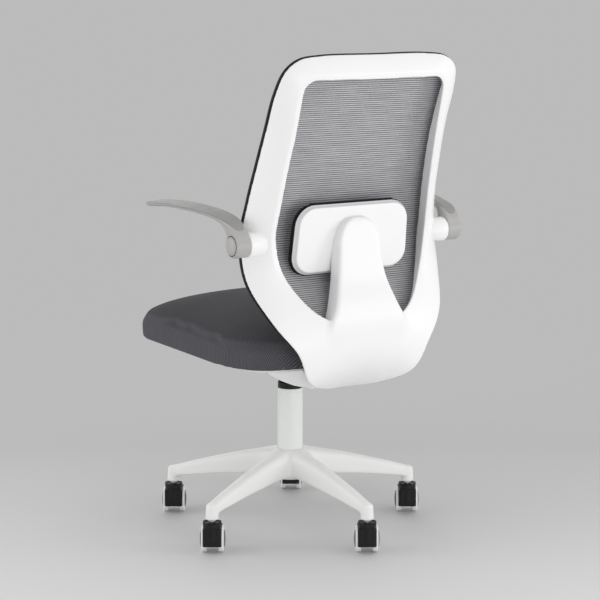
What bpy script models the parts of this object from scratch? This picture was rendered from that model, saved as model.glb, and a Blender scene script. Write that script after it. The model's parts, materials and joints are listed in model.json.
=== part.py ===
"""Office chair with a white moulded back frame, mesh back, flip-up armrests and a five-legged base.

Chair frame: the column axis is the Z axis, the floor is z = 0, the sitter faces -Y and the
sitter's left hand is at +X. One root empty centres the finished chair's box on the origin.
"""

import math

import bmesh
import bpy
import numpy as np

# Fits
GAP = 0.0003
WHEEL_CLEARANCE = 0.0012
LIFT_CLEARANCE = 0.0020

# Casters
CASTER_COUNT = 5
CASTER_CIRCLE_RADIUS = 0.266
FIRST_LEG_DEGREES = 23.0
CASTER_HEADING_DEGREES = 149.0
CASTER_TRAIL = 0.020
WHEEL_RADIUS = 0.027
WHEEL_SIDES = 16
WHEEL_INNER_RADIUS = 0.018
WHEEL_SHOULDER = 0.0015
WHEEL_CAP_RADIUS = 0.0185
WHEEL_TREAD_START = 0.0120
WHEEL_TREAD_END = 0.0232
WHEEL_CAP_DOME = 0.0030
AXLE_RADIUS = 0.0030
AXLE_HALF_LENGTH = 0.0210
HOOD_HALF_WIDTH = 0.0190
HOOD_WALL = 0.0030
HOOD_WEB_HALF = 0.0056
HOOD_NOSE_RADIUS = 0.0175
HOOD_NOSE_BOTTOM_Z = 0.0190
HOOD_REAR_DEGREES = 12.0
HOOD_RISE = 0.0425
STEM_RADIUS = 0.0055
STEM_SIDES = 10
STEM_DEPTH = 0.022
STEM_COLLAR_RADIUS = 0.0095
STEM_COLLAR_HEIGHT = 0.0030

# Base star
LEG_TIP_HEIGHT = 0.0335
LEG_TIP_RADIUS = 0.0125
LEG_TIP_STEP = 0.0006
LEG_RISE = 0.0659
LEG_CROWN = 1.25
LEG_TOP_DRAFT = 0.0045
# The two edges differ a little, so that neighbouring legs cross cleanly where they meet
LEG_EDGE_ROUNDS = (0.0050, 0.0056)
HUB_RADIUS = 0.0360
HUB_HEIGHT = 0.0630
# Leg sections: distance from the column axis, half width and height
LEG_SECTIONS = (
    (0.0285, 0.0310, 0.0530),
    (0.042, 0.0285, 0.0510),
    (0.056, 0.0245, 0.0488),
    (0.078, 0.0215, 0.0455),
    (0.110, 0.0195, 0.0412),
    (0.150, 0.0178, 0.0360),
    (0.200, 0.0158, 0.0298),
    (0.240, 0.0140, 0.0256),
    (CASTER_CIRCLE_RADIUS, 0.0116, 0.0240),
)

# Column and gas lift
TUBE_RADIUS = 0.0250
TUBE_WALL = 0.0020
TUBE_FLOOR = 0.0050
TUBE_RECESS = 0.0070
SLEEVE_WALL = 0.0014
SLEEVE_LENGTH = 0.1320
BUSH_DEPTH = 0.0650
BUSH_FLANGE_HEIGHT = 0.0115
BUSH_FLANGE_RADIUS = 0.0258
CYLINDER_RADIUS = 0.0140
CYLINDER_LENGTH = 0.2050
ROD_RADIUS = 0.0050
ROD_HEAD_RADIUS = 0.0100
ROD_HEAD_HEIGHT = 0.0050
ROD_LENGTH = 0.1930
BEARING_HEIGHT = 0.0080
BUTTON_RADIUS = 0.0040
BUTTON_LENGTH = 0.0150
BUTTON_PROUD = 0.0065
BUTTON_WELL = 0.0220

# Tilt mechanism
HOUSING_HALF_WIDTH = 0.0320
HOUSING_WALL = 0.0025
HOUSING_FLOOR = 0.0030
HOUSING_FRONT_Y = -0.1180
HOUSING_REAR_Y = 0.0420
HOUSING_STEP_Y = -0.0300
HOUSING_FRONT_HEIGHT = 0.0415
HOUSING_REAR_HEIGHT = 0.0205
SOCKET_RADIUS = 0.0200
SOCKET_DROP = 0.0100
SOCKET_RISE = 0.0060
TILT_PIVOT_Y = -0.1000
TILT_PIVOT_HEIGHT = 0.0275
TILT_AXLE_RADIUS = 0.0050
TILT_AXLE_HEAD_RADIUS = 0.0080
TILT_AXLE_HEAD = 0.0025
EAR_WALL = 0.0030
EAR_HALF_LENGTH = 0.0120
EAR_DROP = 0.0100
SPRING_Y = -0.0620
SPRING_RADIUS = 0.0120
SPRING_WIRE_RADIUS = 0.0018
SPRING_TURNS = 5
SPRING_POINTS_PER_TURN = 8
TENSION_BOLT_RADIUS = 0.0035
TENSION_BOLT_LENGTH = 0.0540
TENSION_BOLT_HEIGHT = 0.0130
TENSION_COLLAR_RADIUS = 0.0070
TENSION_COLLAR_LENGTH = 0.0040
KNOB_RADIUS = 0.0160
KNOB_HEIGHT = 0.0240
KNOB_LOBES = 9
KNOB_LOBE_DEPTH = 0.0012

# Height lever
LEVER_PIVOT_X = -0.0215
LEVER_RADIUS = 0.0035
LEVER_TIP_X = 0.0080
LEVER_ELBOW_X = -0.0450
LEVER_END_X = -0.2350
LEVER_DROOP_DEGREES = 8.0
LEVER_BARREL_RADIUS = 0.0060
LEVER_BARREL_HALF = 0.0050
LEVER_STUB_RADIUS = 0.0030
LEVER_LUG_WALL = 0.0030
LEVER_LUG_LENGTH = 0.0135
GRIP_LENGTH = 0.0620
GRIP_HALF_WIDTH = 0.0140
GRIP_HALF_THICKNESS = 0.0050
GRIP_BITE = 0.0300

# Seat
SEAT_PLATE_THICKNESS = 0.0040
SEAT_PLATE_HALF_WIDTH = 0.0850
SEAT_PLATE_FRONT_Y = -0.1250
SEAT_PLATE_REAR_Y = 0.0250
SEAT_PLATE_HEIGHT = 0.0232
BOLT_RADIUS = 0.0030
BOLT_HEAD_RADIUS = 0.0055
BOLT_HEAD_HEIGHT = 0.0040
BOLT_BITE = 0.0090
BOLT_X = 0.0720
BOLT_FRONT_Y = -0.0750
BOLT_REAR_Y = 0.0130
PAN_THICKNESS = 0.0135
PAN_HALF_WIDTH = 0.1850
PAN_HALF_LENGTH = 0.2050
PAN_CORNER_RADIUS = 0.0700
SEAT_CENTRE_Y = -0.0135
CUSHION_HALF_WIDTH = 0.2450
CUSHION_HALF_LENGTH = 0.2635
CUSHION_SIDE_HEIGHT = 0.0800
CUSHION_CROWN = 0.0250
CUSHION_FRONT_FALL = 0.14
CUSHION_FALL_START = 0.0900
CUSHION_BOTTOM_INSET = 0.0100
CUSHION_SHOULDER = 0.0800
CUSHION_PULL_IN = 0.0120
CUSHION_SQUARENESS = 5.4
CUSHION_POINTS = 56

# Back frame, as half outlines from the top centre round to the heel: half width, depth (Y) and
# height above the seat pan's underside. The rim is the front outer edge, the edge is the opening's.
BACK_RIM = (
    (0.0, 0.316, 0.629),
    (0.120, 0.315, 0.6275),
    (0.183, 0.307, 0.608),
    (0.205, 0.291, 0.557),
    (0.213, 0.234, 0.422),
    (0.227, 0.197, 0.272),
    (0.222, 0.213, 0.192),
    (0.190, 0.265, 0.112),
    (0.152, 0.287, 0.055),
    (0.122, 0.275, -0.003),
    (0.065, 0.238, -0.030),
    (0.0, 0.220, -0.035),
)
BACK_EDGE = (
    (0.0, 0.334, 0.583),
    (0.126, 0.332, 0.5825),
    (0.152, 0.3245, 0.5705),
    (0.159, 0.3145, 0.545),
    (0.165, 0.275, 0.422),
    (0.1715, 0.241, 0.272),
    (0.158, 0.245, 0.204),
    (0.115, 0.278, 0.139),
    (0.080, 0.296, 0.116),
    (0.050, 0.303, 0.106),
    (0.024, 0.306, 0.102),
    (0.0, 0.307, 0.1015),
)
BACK_SPAN_STEPS = 3
BACK_WALL = 0.0040
BACK_LIP = 0.0040
BACK_BULGE = 0.38
BACK_CROWN = 0.0050
BACK_SECTION_STEPS = 5
BACK_RETURN = 0.70
BACK_LEAST_RETURN = 0.0100
BACK_MOST_RETURN = 0.0310
BACK_RETURN_DRAFT = 0.0040

# Lumbar post below the plate: half width, front depth, back depth and height above the pan's underside
LUMBAR_POST = (
    (0.076, 0.2740, 0.2840, 0.030),
    (0.086, 0.2850, 0.2995, 0.066),
    (0.088, 0.2740, 0.3075, 0.102),
    (0.071, 0.2580, 0.3010, 0.142),
    (0.0555, 0.2440, 0.2830, 0.192),
)
# Head of the post, seated on the plate: half width, thickness behind the plate, height above its centre
LUMBAR_POST_HEAD = (
    (0.048, 0.0380, -0.025),
    (0.043, 0.0325, 0.025),
    (0.036, 0.0300, 0.045),
    (0.026, 0.0260, 0.052),
)
LUMBAR_POST_STEPS = 2
LUMBAR_HALF_WIDTH = 0.1310
LUMBAR_HALF_HEIGHT = 0.0710
LUMBAR_CORNER_RADIUS = 0.0250
LUMBAR_THICKNESS = 0.0120
LUMBAR_CENTRE_HEIGHT = 0.2670
PAD_BORDER = 0.0060
PAD_THICKNESS = 0.0119
PAD_SQUARENESS = 6.0

# Foot of the back frame, a fork under the seat: depth (Y) and height below the pan's underside
FOOT_OUTLINE = (
    (0.030, 0.0310),
    (0.100, 0.0375),
    (0.160, 0.0375),
    (0.205, 0.0325),
    (0.222, 0.0320),
    (0.236, 0.0250),
    (0.254, 0.0110),
)
FOOT_HALF_WIDTH = 0.0840
FOOT_SLOT_HALF_WIDTH = 0.0480
FOOT_FLOOR_FRONT_Y = 0.0750
FOOT_FLOOR_REAR_Y = 0.2350
FOOT_FLOOR_THICKNESS = 0.0050

# Mesh and its rim
MESH_THICKNESS = 0.0016
MESH_BOW = 0.0040
MESH_BORDER_GAP = 0.0007
MESH_BOTTOM_HEIGHT = 0.0800
MESH_BOTTOM_CORNER = 0.0300
MESH_COLUMNS = 6
RIM_RADIUS = 0.0036

# Armrests
ARM_PIVOT_Y = 0.2205
ARM_PIVOT_HEIGHT = 0.2670
ARM_BOSS_RADIUS = 0.0225
ARM_BOSS_INNER_X = 0.1800
ARM_BOSS_NOSE = 0.0440
ARM_BOSS_OUTER_X = 0.2280
ARM_HUB_RADIUS = 0.0235
ARM_HUB_LENGTH = 0.0372
ARM_PIN_RADIUS = 0.0060
ARM_PIN_BITE = 0.0350
ARM_PIN_HEAD_RADIUS = 0.0120
ARM_PIN_HEAD = 0.0032
ARM_CAP_RADIUS = 0.0188
ARM_CAP_THICKNESS = 0.0068
ARM_CAP_DOME = 0.0015
# Blade stations: top line forward of and above the pivot, bottom line likewise, inner side and
# outer side across (X)
ARM_BLADE = (
    (-0.0222, 0.0050, 0.0222, 0.0050, 0.2283, 0.2655),
    (-0.0160, 0.0230, 0.0205, 0.0150, 0.2283, 0.2655),
    (-0.0015, 0.0380, 0.0215, 0.0240, 0.2310, 0.2660),
    (0.0205, 0.0500, 0.0320, 0.0340, 0.2325, 0.2680),
    (0.0550, 0.0575, 0.0610, 0.0440, 0.2335, 0.2720),
    (0.1050, 0.0615, 0.1080, 0.0500, 0.2340, 0.2790),
    (0.1700, 0.0630, 0.1710, 0.0525, 0.2345, 0.2860),
    (0.2400, 0.0612, 0.2400, 0.0515, 0.2345, 0.2875),
    (0.3050, 0.0555, 0.3050, 0.0465, 0.2355, 0.2840),
    (0.3550, 0.0475, 0.3550, 0.0395, 0.2390, 0.2740),
    (0.3830, 0.0415, 0.3830, 0.0355, 0.2460, 0.2620),
)
ARM_EDGE_ROUND = 0.0025
ARM_PAD_THICKNESS = 0.0030
ARM_PAD_INSET = 0.0008
ARM_PAD_FIRST_STATION = 2

# Levels and places that follow from the sizes above
HOOD_TOP_Z = WHEEL_RADIUS + HOOD_RISE
TIP_BOTTOM_Z = HOOD_TOP_Z + STEM_COLLAR_HEIGHT + 2 * GAP
TIP_TOP_Z = TIP_BOTTOM_Z + LEG_TIP_HEIGHT
LEG_ROOT_Z = TIP_TOP_Z - LEG_TIP_STEP + LEG_RISE
HUB_TOP_Z = LEG_ROOT_Z - LEG_RISE * (HUB_RADIUS / CASTER_CIRCLE_RADIUS) ** LEG_CROWN
HUB_BOTTOM_Z = HUB_TOP_Z - HUB_HEIGHT
TUBE_BOTTOM_Z = HUB_BOTTOM_Z + TUBE_RECESS
SLEEVE_BOTTOM_Z = HUB_TOP_Z + GAP
SLEEVE_TOP_Z = SLEEVE_BOTTOM_Z + SLEEVE_LENGTH
BUSH_TOP_Z = SLEEVE_TOP_Z + GAP + BUSH_FLANGE_HEIGHT
SOCKET_BOTTOM_Z = BUSH_TOP_Z + LIFT_CLEARANCE
FLOOR_BOTTOM_Z = SOCKET_BOTTOM_Z + SOCKET_DROP
FLOOR_TOP_Z = FLOOR_BOTTOM_Z + HOUSING_FLOOR
CYLINDER_TOP_Z = FLOOR_TOP_Z + SOCKET_RISE - GAP
LEVER_Z = CYLINDER_TOP_Z + BUTTON_PROUD + GAP + LEVER_RADIUS
TILT_PIVOT_Z = FLOOR_BOTTOM_Z + TILT_PIVOT_HEIGHT
PLATE_BOTTOM_Z = TILT_PIVOT_Z + SEAT_PLATE_HEIGHT
PLATE_TOP_Z = PLATE_BOTTOM_Z + SEAT_PLATE_THICKNESS
PAN_BOTTOM_Z = PLATE_TOP_Z + GAP
PAN_TOP_Z = PAN_BOTTOM_Z + PAN_THICKNESS
CUSHION_BOTTOM_Z = PAN_TOP_Z + GAP
ARM_PIVOT_Z = PAN_BOTTOM_Z + ARM_PIVOT_HEIGHT
ARM_HUB_INNER_X = ARM_BOSS_OUTER_X + GAP
ARM_HUB_OUTER_X = ARM_HUB_INNER_X + ARM_HUB_LENGTH
WHEEL_INNER_X = HOOD_WEB_HALF + WHEEL_CLEARANCE / 2

PARTS = "office_chair"
CUTTERS = "office_chair_cutters"


def clear_scene():
    """Remove every object and add one collection for the parts and one for the cutters."""
    for item in list(bpy.data.objects):
        bpy.data.objects.remove(item, do_unlink=True)
    for name in (PARTS, CUTTERS):
        bpy.context.scene.collection.children.link(bpy.data.collections.new(name))


def material(name, colour, roughness, metallic=0.0):
    """A Principled BSDF material."""
    made = bpy.data.materials.new(name)
    made.use_nodes = True
    shader = made.node_tree.nodes["Principled BSDF"]
    shader.inputs["Base Color"].default_value = (*colour, 1.0)
    shader.inputs["Roughness"].default_value = roughness
    shader.inputs["Metallic"].default_value = metallic
    return made


def link(name, data, collection=PARTS):
    """A new object for this mesh or curve."""
    made = bpy.data.objects.new(name, data)
    bpy.data.collections[collection].objects.link(made)
    return made


def empty(name, location=(0, 0, 0), turn=0.0, parent=None):
    """An empty that carries the pieces of one moving body."""
    made = link(name, None)
    made.location = location
    made.rotation_euler.z = turn
    made.parent = parent
    return made


def put(piece, parent, finish, location=(0, 0, 0), rotation=(0, 0, 0), smooth=35):
    """Place a finished piece under its parent, with its own copy of the material."""
    piece.parent = parent
    piece.location = location
    piece.rotation_euler = rotation
    own = finish.copy()
    own.name = piece.name
    piece.data.materials.clear()
    piece.data.materials.append(own)
    if smooth and piece.type == "MESH":
        piece.data.shade_smooth()
        piece.data.set_sharp_from_angle(angle=math.radians(smooth))
    return piece


def mesh_of(name, points, faces):
    """A mesh from points and faces, with its faces turned outwards."""
    mesh = bpy.data.meshes.new(name)
    mesh.from_pydata([tuple(map(float, point)) for point in points], [], faces)
    work = bmesh.new()
    work.from_mesh(mesh)
    bmesh.ops.recalc_face_normals(work, faces=work.faces)
    work.to_mesh(mesh)
    work.free()
    return mesh


def loft(name, rings, collection=PARTS):
    """A closed solid through rings of equal point counts, with a face on each end."""
    rings = np.asarray(rings, float)
    count, sides = rings.shape[:2]
    faces = [list(range(sides)), list(range((count - 1) * sides, count * sides))]
    for ring in range(count - 1):
        for side in range(sides):
            after = (side + 1) % sides
            low, high = ring * sides, (ring + 1) * sides
            faces.append([low + side, low + after, high + after, high + side])
    return link(name, mesh_of(name, rings.reshape(-1, 3), faces), collection)


def turned(name, profile, sides, closed=False, collection=PARTS, start=0.0):
    """A profile of (radius, height) points, run down its outer side, turned about Z."""
    mesh = bpy.data.meshes.new(name)
    points = [(radius * math.cos(start), radius * math.sin(start), height) for radius, height in profile]
    edges = [(index, index + 1) for index in range(len(points) - 1)]
    if closed:
        edges.append((len(points) - 1, 0))
    mesh.from_pydata(points, edges, [])
    made = link(name, mesh, collection)
    screw = made.modifiers.new("turn", "SCREW")
    screw.steps = sides
    screw.render_steps = sides
    screw.use_merge_vertices = True
    screw.merge_threshold = 0.00001
    screw.use_smooth_shade = True
    return made


def disc(radius, top, bottom):
    """Profile of a plain cylinder."""
    return [(0, top), (radius, top), (radius, bottom), (0, bottom)]


def ring(outer, inner, top, bottom):
    """Closed profile of a plain tube."""
    return [(outer, top), (outer, bottom), (inner, bottom), (inner, top)]


def box(name, low, high, collection=PARTS):
    """A box between two corners."""
    low, high = np.asarray(low, float), np.asarray(high, float)
    mesh = bpy.data.meshes.new(name)
    work = bmesh.new()
    made = bmesh.ops.create_cube(work, size=1.0)
    bmesh.ops.scale(work, vec=tuple(high - low), verts=made["verts"])
    bmesh.ops.translate(work, vec=tuple((high + low) / 2), verts=made["verts"])
    work.to_mesh(mesh)
    work.free()
    return link(name, mesh, collection)


def pin(name, radius, start, end, sides=20, collection=PARTS):
    """A cylinder between two points along one axis."""
    start, end = np.asarray(start, float), np.asarray(end, float)
    along = end - start
    mesh = bpy.data.meshes.new(name)
    work = bmesh.new()
    length = float(np.linalg.norm(along))
    made = bmesh.ops.create_cone(
        work, cap_ends=True, segments=sides, radius1=radius, radius2=radius, depth=length
    )
    axis = int(np.argmax(np.abs(along)))
    for vert in made["verts"]:
        x, y, z = vert.co
        vert.co = ((z, x, y), (y, z, x), (x, y, z))[axis]
    bmesh.ops.translate(work, vec=tuple((start + end) / 2), verts=made["verts"])
    work.to_mesh(mesh)
    work.free()
    return link(name, mesh, collection)


def as_mesh(item):
    """The evaluated object as a plain mesh object in the same place, with loose caps welded."""
    bpy.context.view_layer.update()
    graph = bpy.context.evaluated_depsgraph_get()
    mesh = bpy.data.meshes.new_from_object(item.evaluated_get(graph))
    work = bmesh.new()
    work.from_mesh(mesh)
    bmesh.ops.remove_doubles(work, verts=work.verts, dist=0.000001)
    bmesh.ops.recalc_face_normals(work, faces=work.faces)
    work.to_mesh(mesh)
    work.free()
    name, place, home = item.name, item.matrix_world.copy(), item.users_collection[0].name
    bpy.data.objects.remove(item, do_unlink=True)
    made = link(name, mesh, home)
    made.matrix_world = place
    return made


def plate(name, outline, thickness, collection=PARTS):
    """A flat outline in XY, extruded from z = 0 up to the thickness, as a mesh."""
    curve = bpy.data.curves.new(name, "CURVE")
    curve.dimensions = "2D"
    curve.fill_mode = "BOTH"
    curve.extrude = thickness / 2
    spline = curve.splines.new("POLY")
    spline.points.add(len(outline) - 1)
    for point, (x, y) in zip(spline.points, outline):
        point.co = (x, y, 0, 1)
    spline.use_cyclic_u = True
    made = as_mesh(link(name, curve, collection))
    for vert in made.data.vertices:
        vert.co.z += thickness / 2
    return made


def upright(name, outline, low_x, high_x, collection=PARTS):
    """A flat (Y, Z) outline, extruded along X between two planes."""
    made = plate(name, outline, high_x - low_x, collection)
    for vert in made.data.vertices:
        vert.co = (vert.co.z + low_x, vert.co.x, vert.co.y)
    return made


def tube(name, points, radius, resolution, cyclic=False, collection=PARTS):
    """A round bar along a path."""
    curve = bpy.data.curves.new(name, "CURVE")
    curve.dimensions = "3D"
    curve.bevel_depth = radius
    curve.bevel_resolution = resolution
    curve.use_fill_caps = not cyclic
    spline = curve.splines.new("POLY")
    spline.points.add(len(points) - 1)
    for point, place in zip(spline.points, points):
        point.co = (*map(float, place), 1)
    spline.use_cyclic_u = cyclic
    return as_mesh(link(name, curve, collection))


def boolean(target, operation, *tools):
    """Join or cut the target with hidden tool objects, in order."""
    for tool in tools:
        tool.hide_render = True
        tool.display_type = "WIRE"
        step = target.modifiers.new(tool.name, "BOOLEAN")
        step.operation = operation
        step.solver = "EXACT"
        step.object = tool
    return target


def settle(target, *tools):
    """Apply the target's modifiers to its mesh and remove the tools that it used."""
    made = as_mesh(target)
    for tool in tools:
        bpy.data.objects.remove(tool, do_unlink=True)
    return made


def smooth_path(points, steps, closed=False):
    """Points on a smooth curve through the given ones, with this many steps in each span.

    Each span is a cubic whose end slopes are the weighted slopes of the two spans that meet there.
    """
    points = np.asarray(points, float)
    count = len(points)
    if closed:
        points = np.vstack([points[-1], points, points[:2]])
    else:
        points = np.vstack([2 * points[0] - points[1], points, 2 * points[-1] - points[-2]])
    span = np.sqrt(np.linalg.norm(np.diff(points, axis=0), axis=1))[:, None]
    slope = np.diff(points, axis=0) / span
    tangent = (slope[:-1] * span[1:] + slope[1:] * span[:-1]) / (span[:-1] + span[1:])
    spans = count if closed else count - 1
    share = (np.arange(steps) / steps)[None, :, None]
    start, end = points[1 : spans + 1, None], points[2 : spans + 2, None]
    leave = (tangent[:spans] * span[1 : spans + 1])[:, None]
    arrive = (tangent[1 : spans + 1] * span[1 : spans + 1])[:, None]
    curve = (
        start * (2 * share**3 - 3 * share**2 + 1)
        + leave * (share**3 - 2 * share**2 + share)
        + end * (3 * share**2 - 2 * share**3)
        + arrive * (share**3 - share**2)
    ).reshape(-1, points.shape[1])
    return curve if closed else np.vstack([curve, points[-2]])


def rounded_rectangle(half_x, half_y, radius, steps=6, centre=(0, 0)):
    """Outline of a rectangle with round corners."""
    points = []
    for corner in range(4):
        way = math.radians(90 * corner)
        side_x = (1, -1, -1, 1)[corner] * (half_x - radius)
        side_y = (1, 1, -1, -1)[corner] * (half_y - radius)
        for step in range(steps + 1):
            angle = way + math.radians(90) * step / steps
            x = centre[0] + side_x + radius * math.cos(angle)
            y = centre[1] + side_y + radius * math.sin(angle)
            points.append((x, y))
    return points


def cushion_outline(half_x, half_y, squareness, pull_in, count):
    """A squarish closed outline whose sides draw in between the corners."""
    angle = np.arange(count) * 2 * math.pi / count
    cosine, sine = np.cos(angle), np.sin(angle)
    x = np.sign(cosine) * np.abs(cosine) ** (2 / squareness)
    y = np.sign(sine) * np.abs(sine) ** (2 / squareness)
    drawn_x = half_x * x - np.sign(x) * np.abs(x) ** 4 * pull_in * (1 - y**2)
    drawn_y = half_y * y - np.sign(y) * np.abs(y) ** 4 * pull_in * (1 - x**2)
    return np.stack([drawn_x, drawn_y], axis=1)


def pillow(name, half_x, half_y, side, crown, inset, shoulder, pull_in, squareness, count):
    """A cushion on z = 0: a tucked-in bottom edge, full sides and a crowned top."""
    rings = []
    # The side is fullest at two fifths of its height, and rolls over from there in a quarter ellipse
    widest = 0.4 * side
    levels = [(inset, 0.0), (0.3 * inset, 0.4 * widest), (0.0, widest)]
    for angle in np.radians([15, 30, 45, 60, 75, 90]):
        levels.append((shoulder * (1 - math.cos(angle)), widest + (side - widest) * math.sin(angle)))
    reach = min(half_x, half_y)
    for share in (0.3, 0.65, 0.95):
        levels.append((shoulder + (reach - shoulder) * share, side + crown * (1 - (1 - share) ** 2)))
    for inward, height in levels:
        left = 1 - inward / reach
        square = 2 + (squareness - 2) * left**2
        flat = cushion_outline(half_x - inward, half_y - inward, square, pull_in * left, count)
        rings.append(np.column_stack([flat, np.full(count, height)]))
    return loft(name, rings)


def least_coil_gap(points, wire_radius, per_turn):
    """Smallest clear distance between a coil's wire and itself, half a turn or more along."""
    points = np.asarray(points)
    apart = np.linalg.norm(points[:, None] - points[None], axis=2)
    index = np.arange(len(points))
    far = np.abs(index[:, None] - index[None]) >= per_turn // 2
    return float(apart[far].min() - 2 * wire_radius)


def finishes():
    """Every finish on the chair, by name."""
    return {
        "white": material("white_plastic", (0.86, 0.86, 0.85), 0.42),
        "base": material("base_plastic", (0.80, 0.80, 0.78), 0.48),
        "sleeve": material("sleeve_plastic", (0.78, 0.80, 0.77), 0.45),
        "black": material("black_plastic", (0.025, 0.025, 0.027), 0.45),
        "grey": material("arm_plastic", (0.47, 0.46, 0.44), 0.50),
        "pad": material("arm_pad", (0.34, 0.34, 0.33), 0.60),
        "fabric": material("seat_fabric", (0.055, 0.055, 0.062), 0.95),
        "mesh": material("back_mesh", (0.17, 0.17, 0.185), 0.85),
        "tread": material("wheel_tread", (0.78, 0.78, 0.77), 0.55),
        "steel": material("steel", (0.55, 0.55, 0.56), 0.32, 1.0),
        "dark_steel": material("dark_steel", (0.03, 0.03, 0.032), 0.45, 0.6),
    }


def leg_rings():
    """Sections of one leg along +X, from inside the hub to the tip: tapered, drafted, rounded."""
    rings = []
    for reach, low, height in LEG_SECTIONS:
        top = LEG_ROOT_Z - LEG_RISE * (reach / CASTER_CIRCLE_RADIUS) ** LEG_CROWN
        high = low - LEG_TOP_DRAFT
        near, far = LEG_EDGE_ROUNDS
        section = (
            (low - near, -height),
            (low, -height + near),
            (high, -near),
            (high - near, 0.0),
            (far - high, 0.0),
            (-high, -far),
            (-low, -height + far),
            (far - low, -height),
        )
        rings.append([(reach, y, top + z) for y, z in section])
    return rings


def base_star(root, finish):
    """Hub and legs in one moulding, bored for the column and the caster stems."""
    dome = 0.25 * LEG_TIP_RADIUS
    bore = TUBE_RADIUS + GAP
    hub = turned(
        "base_star",
        [(HUB_RADIUS - dome, HUB_TOP_Z), (HUB_RADIUS, HUB_TOP_Z - 2 * dome), (HUB_RADIUS, HUB_BOTTOM_Z)]
        + [(bore, HUB_BOTTOM_Z), (bore, HUB_TOP_Z)],
        25,
        closed=True,
    )
    stem_top = TIP_BOTTOM_Z + STEM_DEPTH
    joins, cuts = [], []
    for leg in range(CASTER_COUNT):
        way = math.radians(FIRST_LEG_DEGREES + 360 * leg / CASTER_COUNT)
        arm = loft(f"leg_{leg}", leg_rings(), CUTTERS)
        arm.rotation_euler.z = way
        tip = (CASTER_CIRCLE_RADIUS * math.cos(way), CASTER_CIRCLE_RADIUS * math.sin(way), 0)
        foot = turned(
            f"tip_{leg}",
            [(0, TIP_TOP_Z), (LEG_TIP_RADIUS - 2 * dome, TIP_TOP_Z), (LEG_TIP_RADIUS, TIP_TOP_Z - 2 * dome)]
            + [(LEG_TIP_RADIUS, TIP_BOTTOM_Z), (0, TIP_BOTTOM_Z)],
            14,
            collection=CUTTERS,
        )
        foot.location = tip
        joins += [arm, foot]
        bored = disc(STEM_RADIUS + GAP, stem_top + GAP, TIP_BOTTOM_Z - dome)
        hole = turned(f"stem_hole_{leg}", bored, STEM_SIDES, collection=CUTTERS)
        hole.location = tip
        cuts.append(hole)
    boolean(hub, "UNION", *joins)
    boolean(hub, "DIFFERENCE", *cuts)
    put(settle(hub, *joins, *cuts), root, finish["base"])


def hood_mesh():
    """Caster hood: a fender over both wheels with a web between them and a nose for the stem."""
    centre_y, centre_z = CASTER_TRAIL, WHEEL_RADIUS
    bay = WHEEL_RADIUS / math.cos(math.pi / WHEEL_SIDES) + WHEEL_CLEARANCE
    outer = bay + HOOD_WALL
    nose_y = centre_y - outer
    outline = [(nose_y, HOOD_NOSE_BOTTOM_Z)]
    steps = 8
    for step in range(steps + 1):
        angle = math.radians(180 + (HOOD_REAR_DEGREES - 180) * step / steps)
        outline.append((centre_y + outer * math.cos(angle), centre_z + outer * math.sin(angle)))
    outline.append((centre_y + WHEEL_CAP_RADIUS / 2, HOOD_NOSE_BOTTOM_Z))
    hood = upright("hood", outline, -HOOD_HALF_WIDTH, HOOD_HALF_WIDTH)
    nose = turned("nose", disc(HOOD_NOSE_RADIUS, HOOD_TOP_Z, centre_z), 14, collection=CUTTERS)
    tools = [nose]
    boolean(hood, "UNION", nose)
    beyond = HOOD_HALF_WIDTH + HOOD_WALL
    left_end, right_end = (beyond, centre_y, centre_z), (-beyond, centre_y, centre_z)
    left_web, right_web = (HOOD_WEB_HALF, centre_y, centre_z), (-HOOD_WEB_HALF, centre_y, centre_z)
    well = disc(STEM_RADIUS + GAP, HOOD_TOP_Z + HOOD_WALL, HOOD_TOP_Z - STEM_DEPTH)
    cuts = [
        pin("bay_left", bay, left_web, left_end, WHEEL_SIDES + 2, CUTTERS),
        pin("bay_right", bay, right_web, right_end, WHEEL_SIDES + 2, CUTTERS),
        pin("axle_hole", AXLE_RADIUS + GAP, right_end, left_end, STEM_SIDES, CUTTERS),
        turned("stem_well", well, STEM_SIDES, collection=CUTTERS),
    ]
    boolean(hood, "DIFFERENCE", *cuts)
    made = settle(hood, *tools, *cuts)
    mesh = made.data
    bpy.data.objects.remove(made, do_unlink=True)
    return mesh


def wheel_profile():
    """Twin-wheel half: capped outer side, flat tread, stepped inner side with a blind axle bore."""
    corner = WHEEL_RADIUS / math.cos(math.pi / WHEEL_SIDES)
    bore = AXLE_RADIUS + GAP
    return [
        (0, WHEEL_TREAD_END + WHEEL_CAP_DOME),
        (WHEEL_CAP_RADIUS, WHEEL_TREAD_END),
        (corner, WHEEL_TREAD_END - WHEEL_SHOULDER),
        (corner, WHEEL_TREAD_START),
        (WHEEL_INNER_RADIUS, WHEEL_TREAD_START - WHEEL_SHOULDER / 3),
        (WHEEL_INNER_RADIUS, WHEEL_INNER_X),
        (bore, WHEEL_INNER_X),
        (bore, AXLE_HALF_LENGTH + GAP),
        (0, AXLE_HALF_LENGTH + GAP),
    ]


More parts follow.
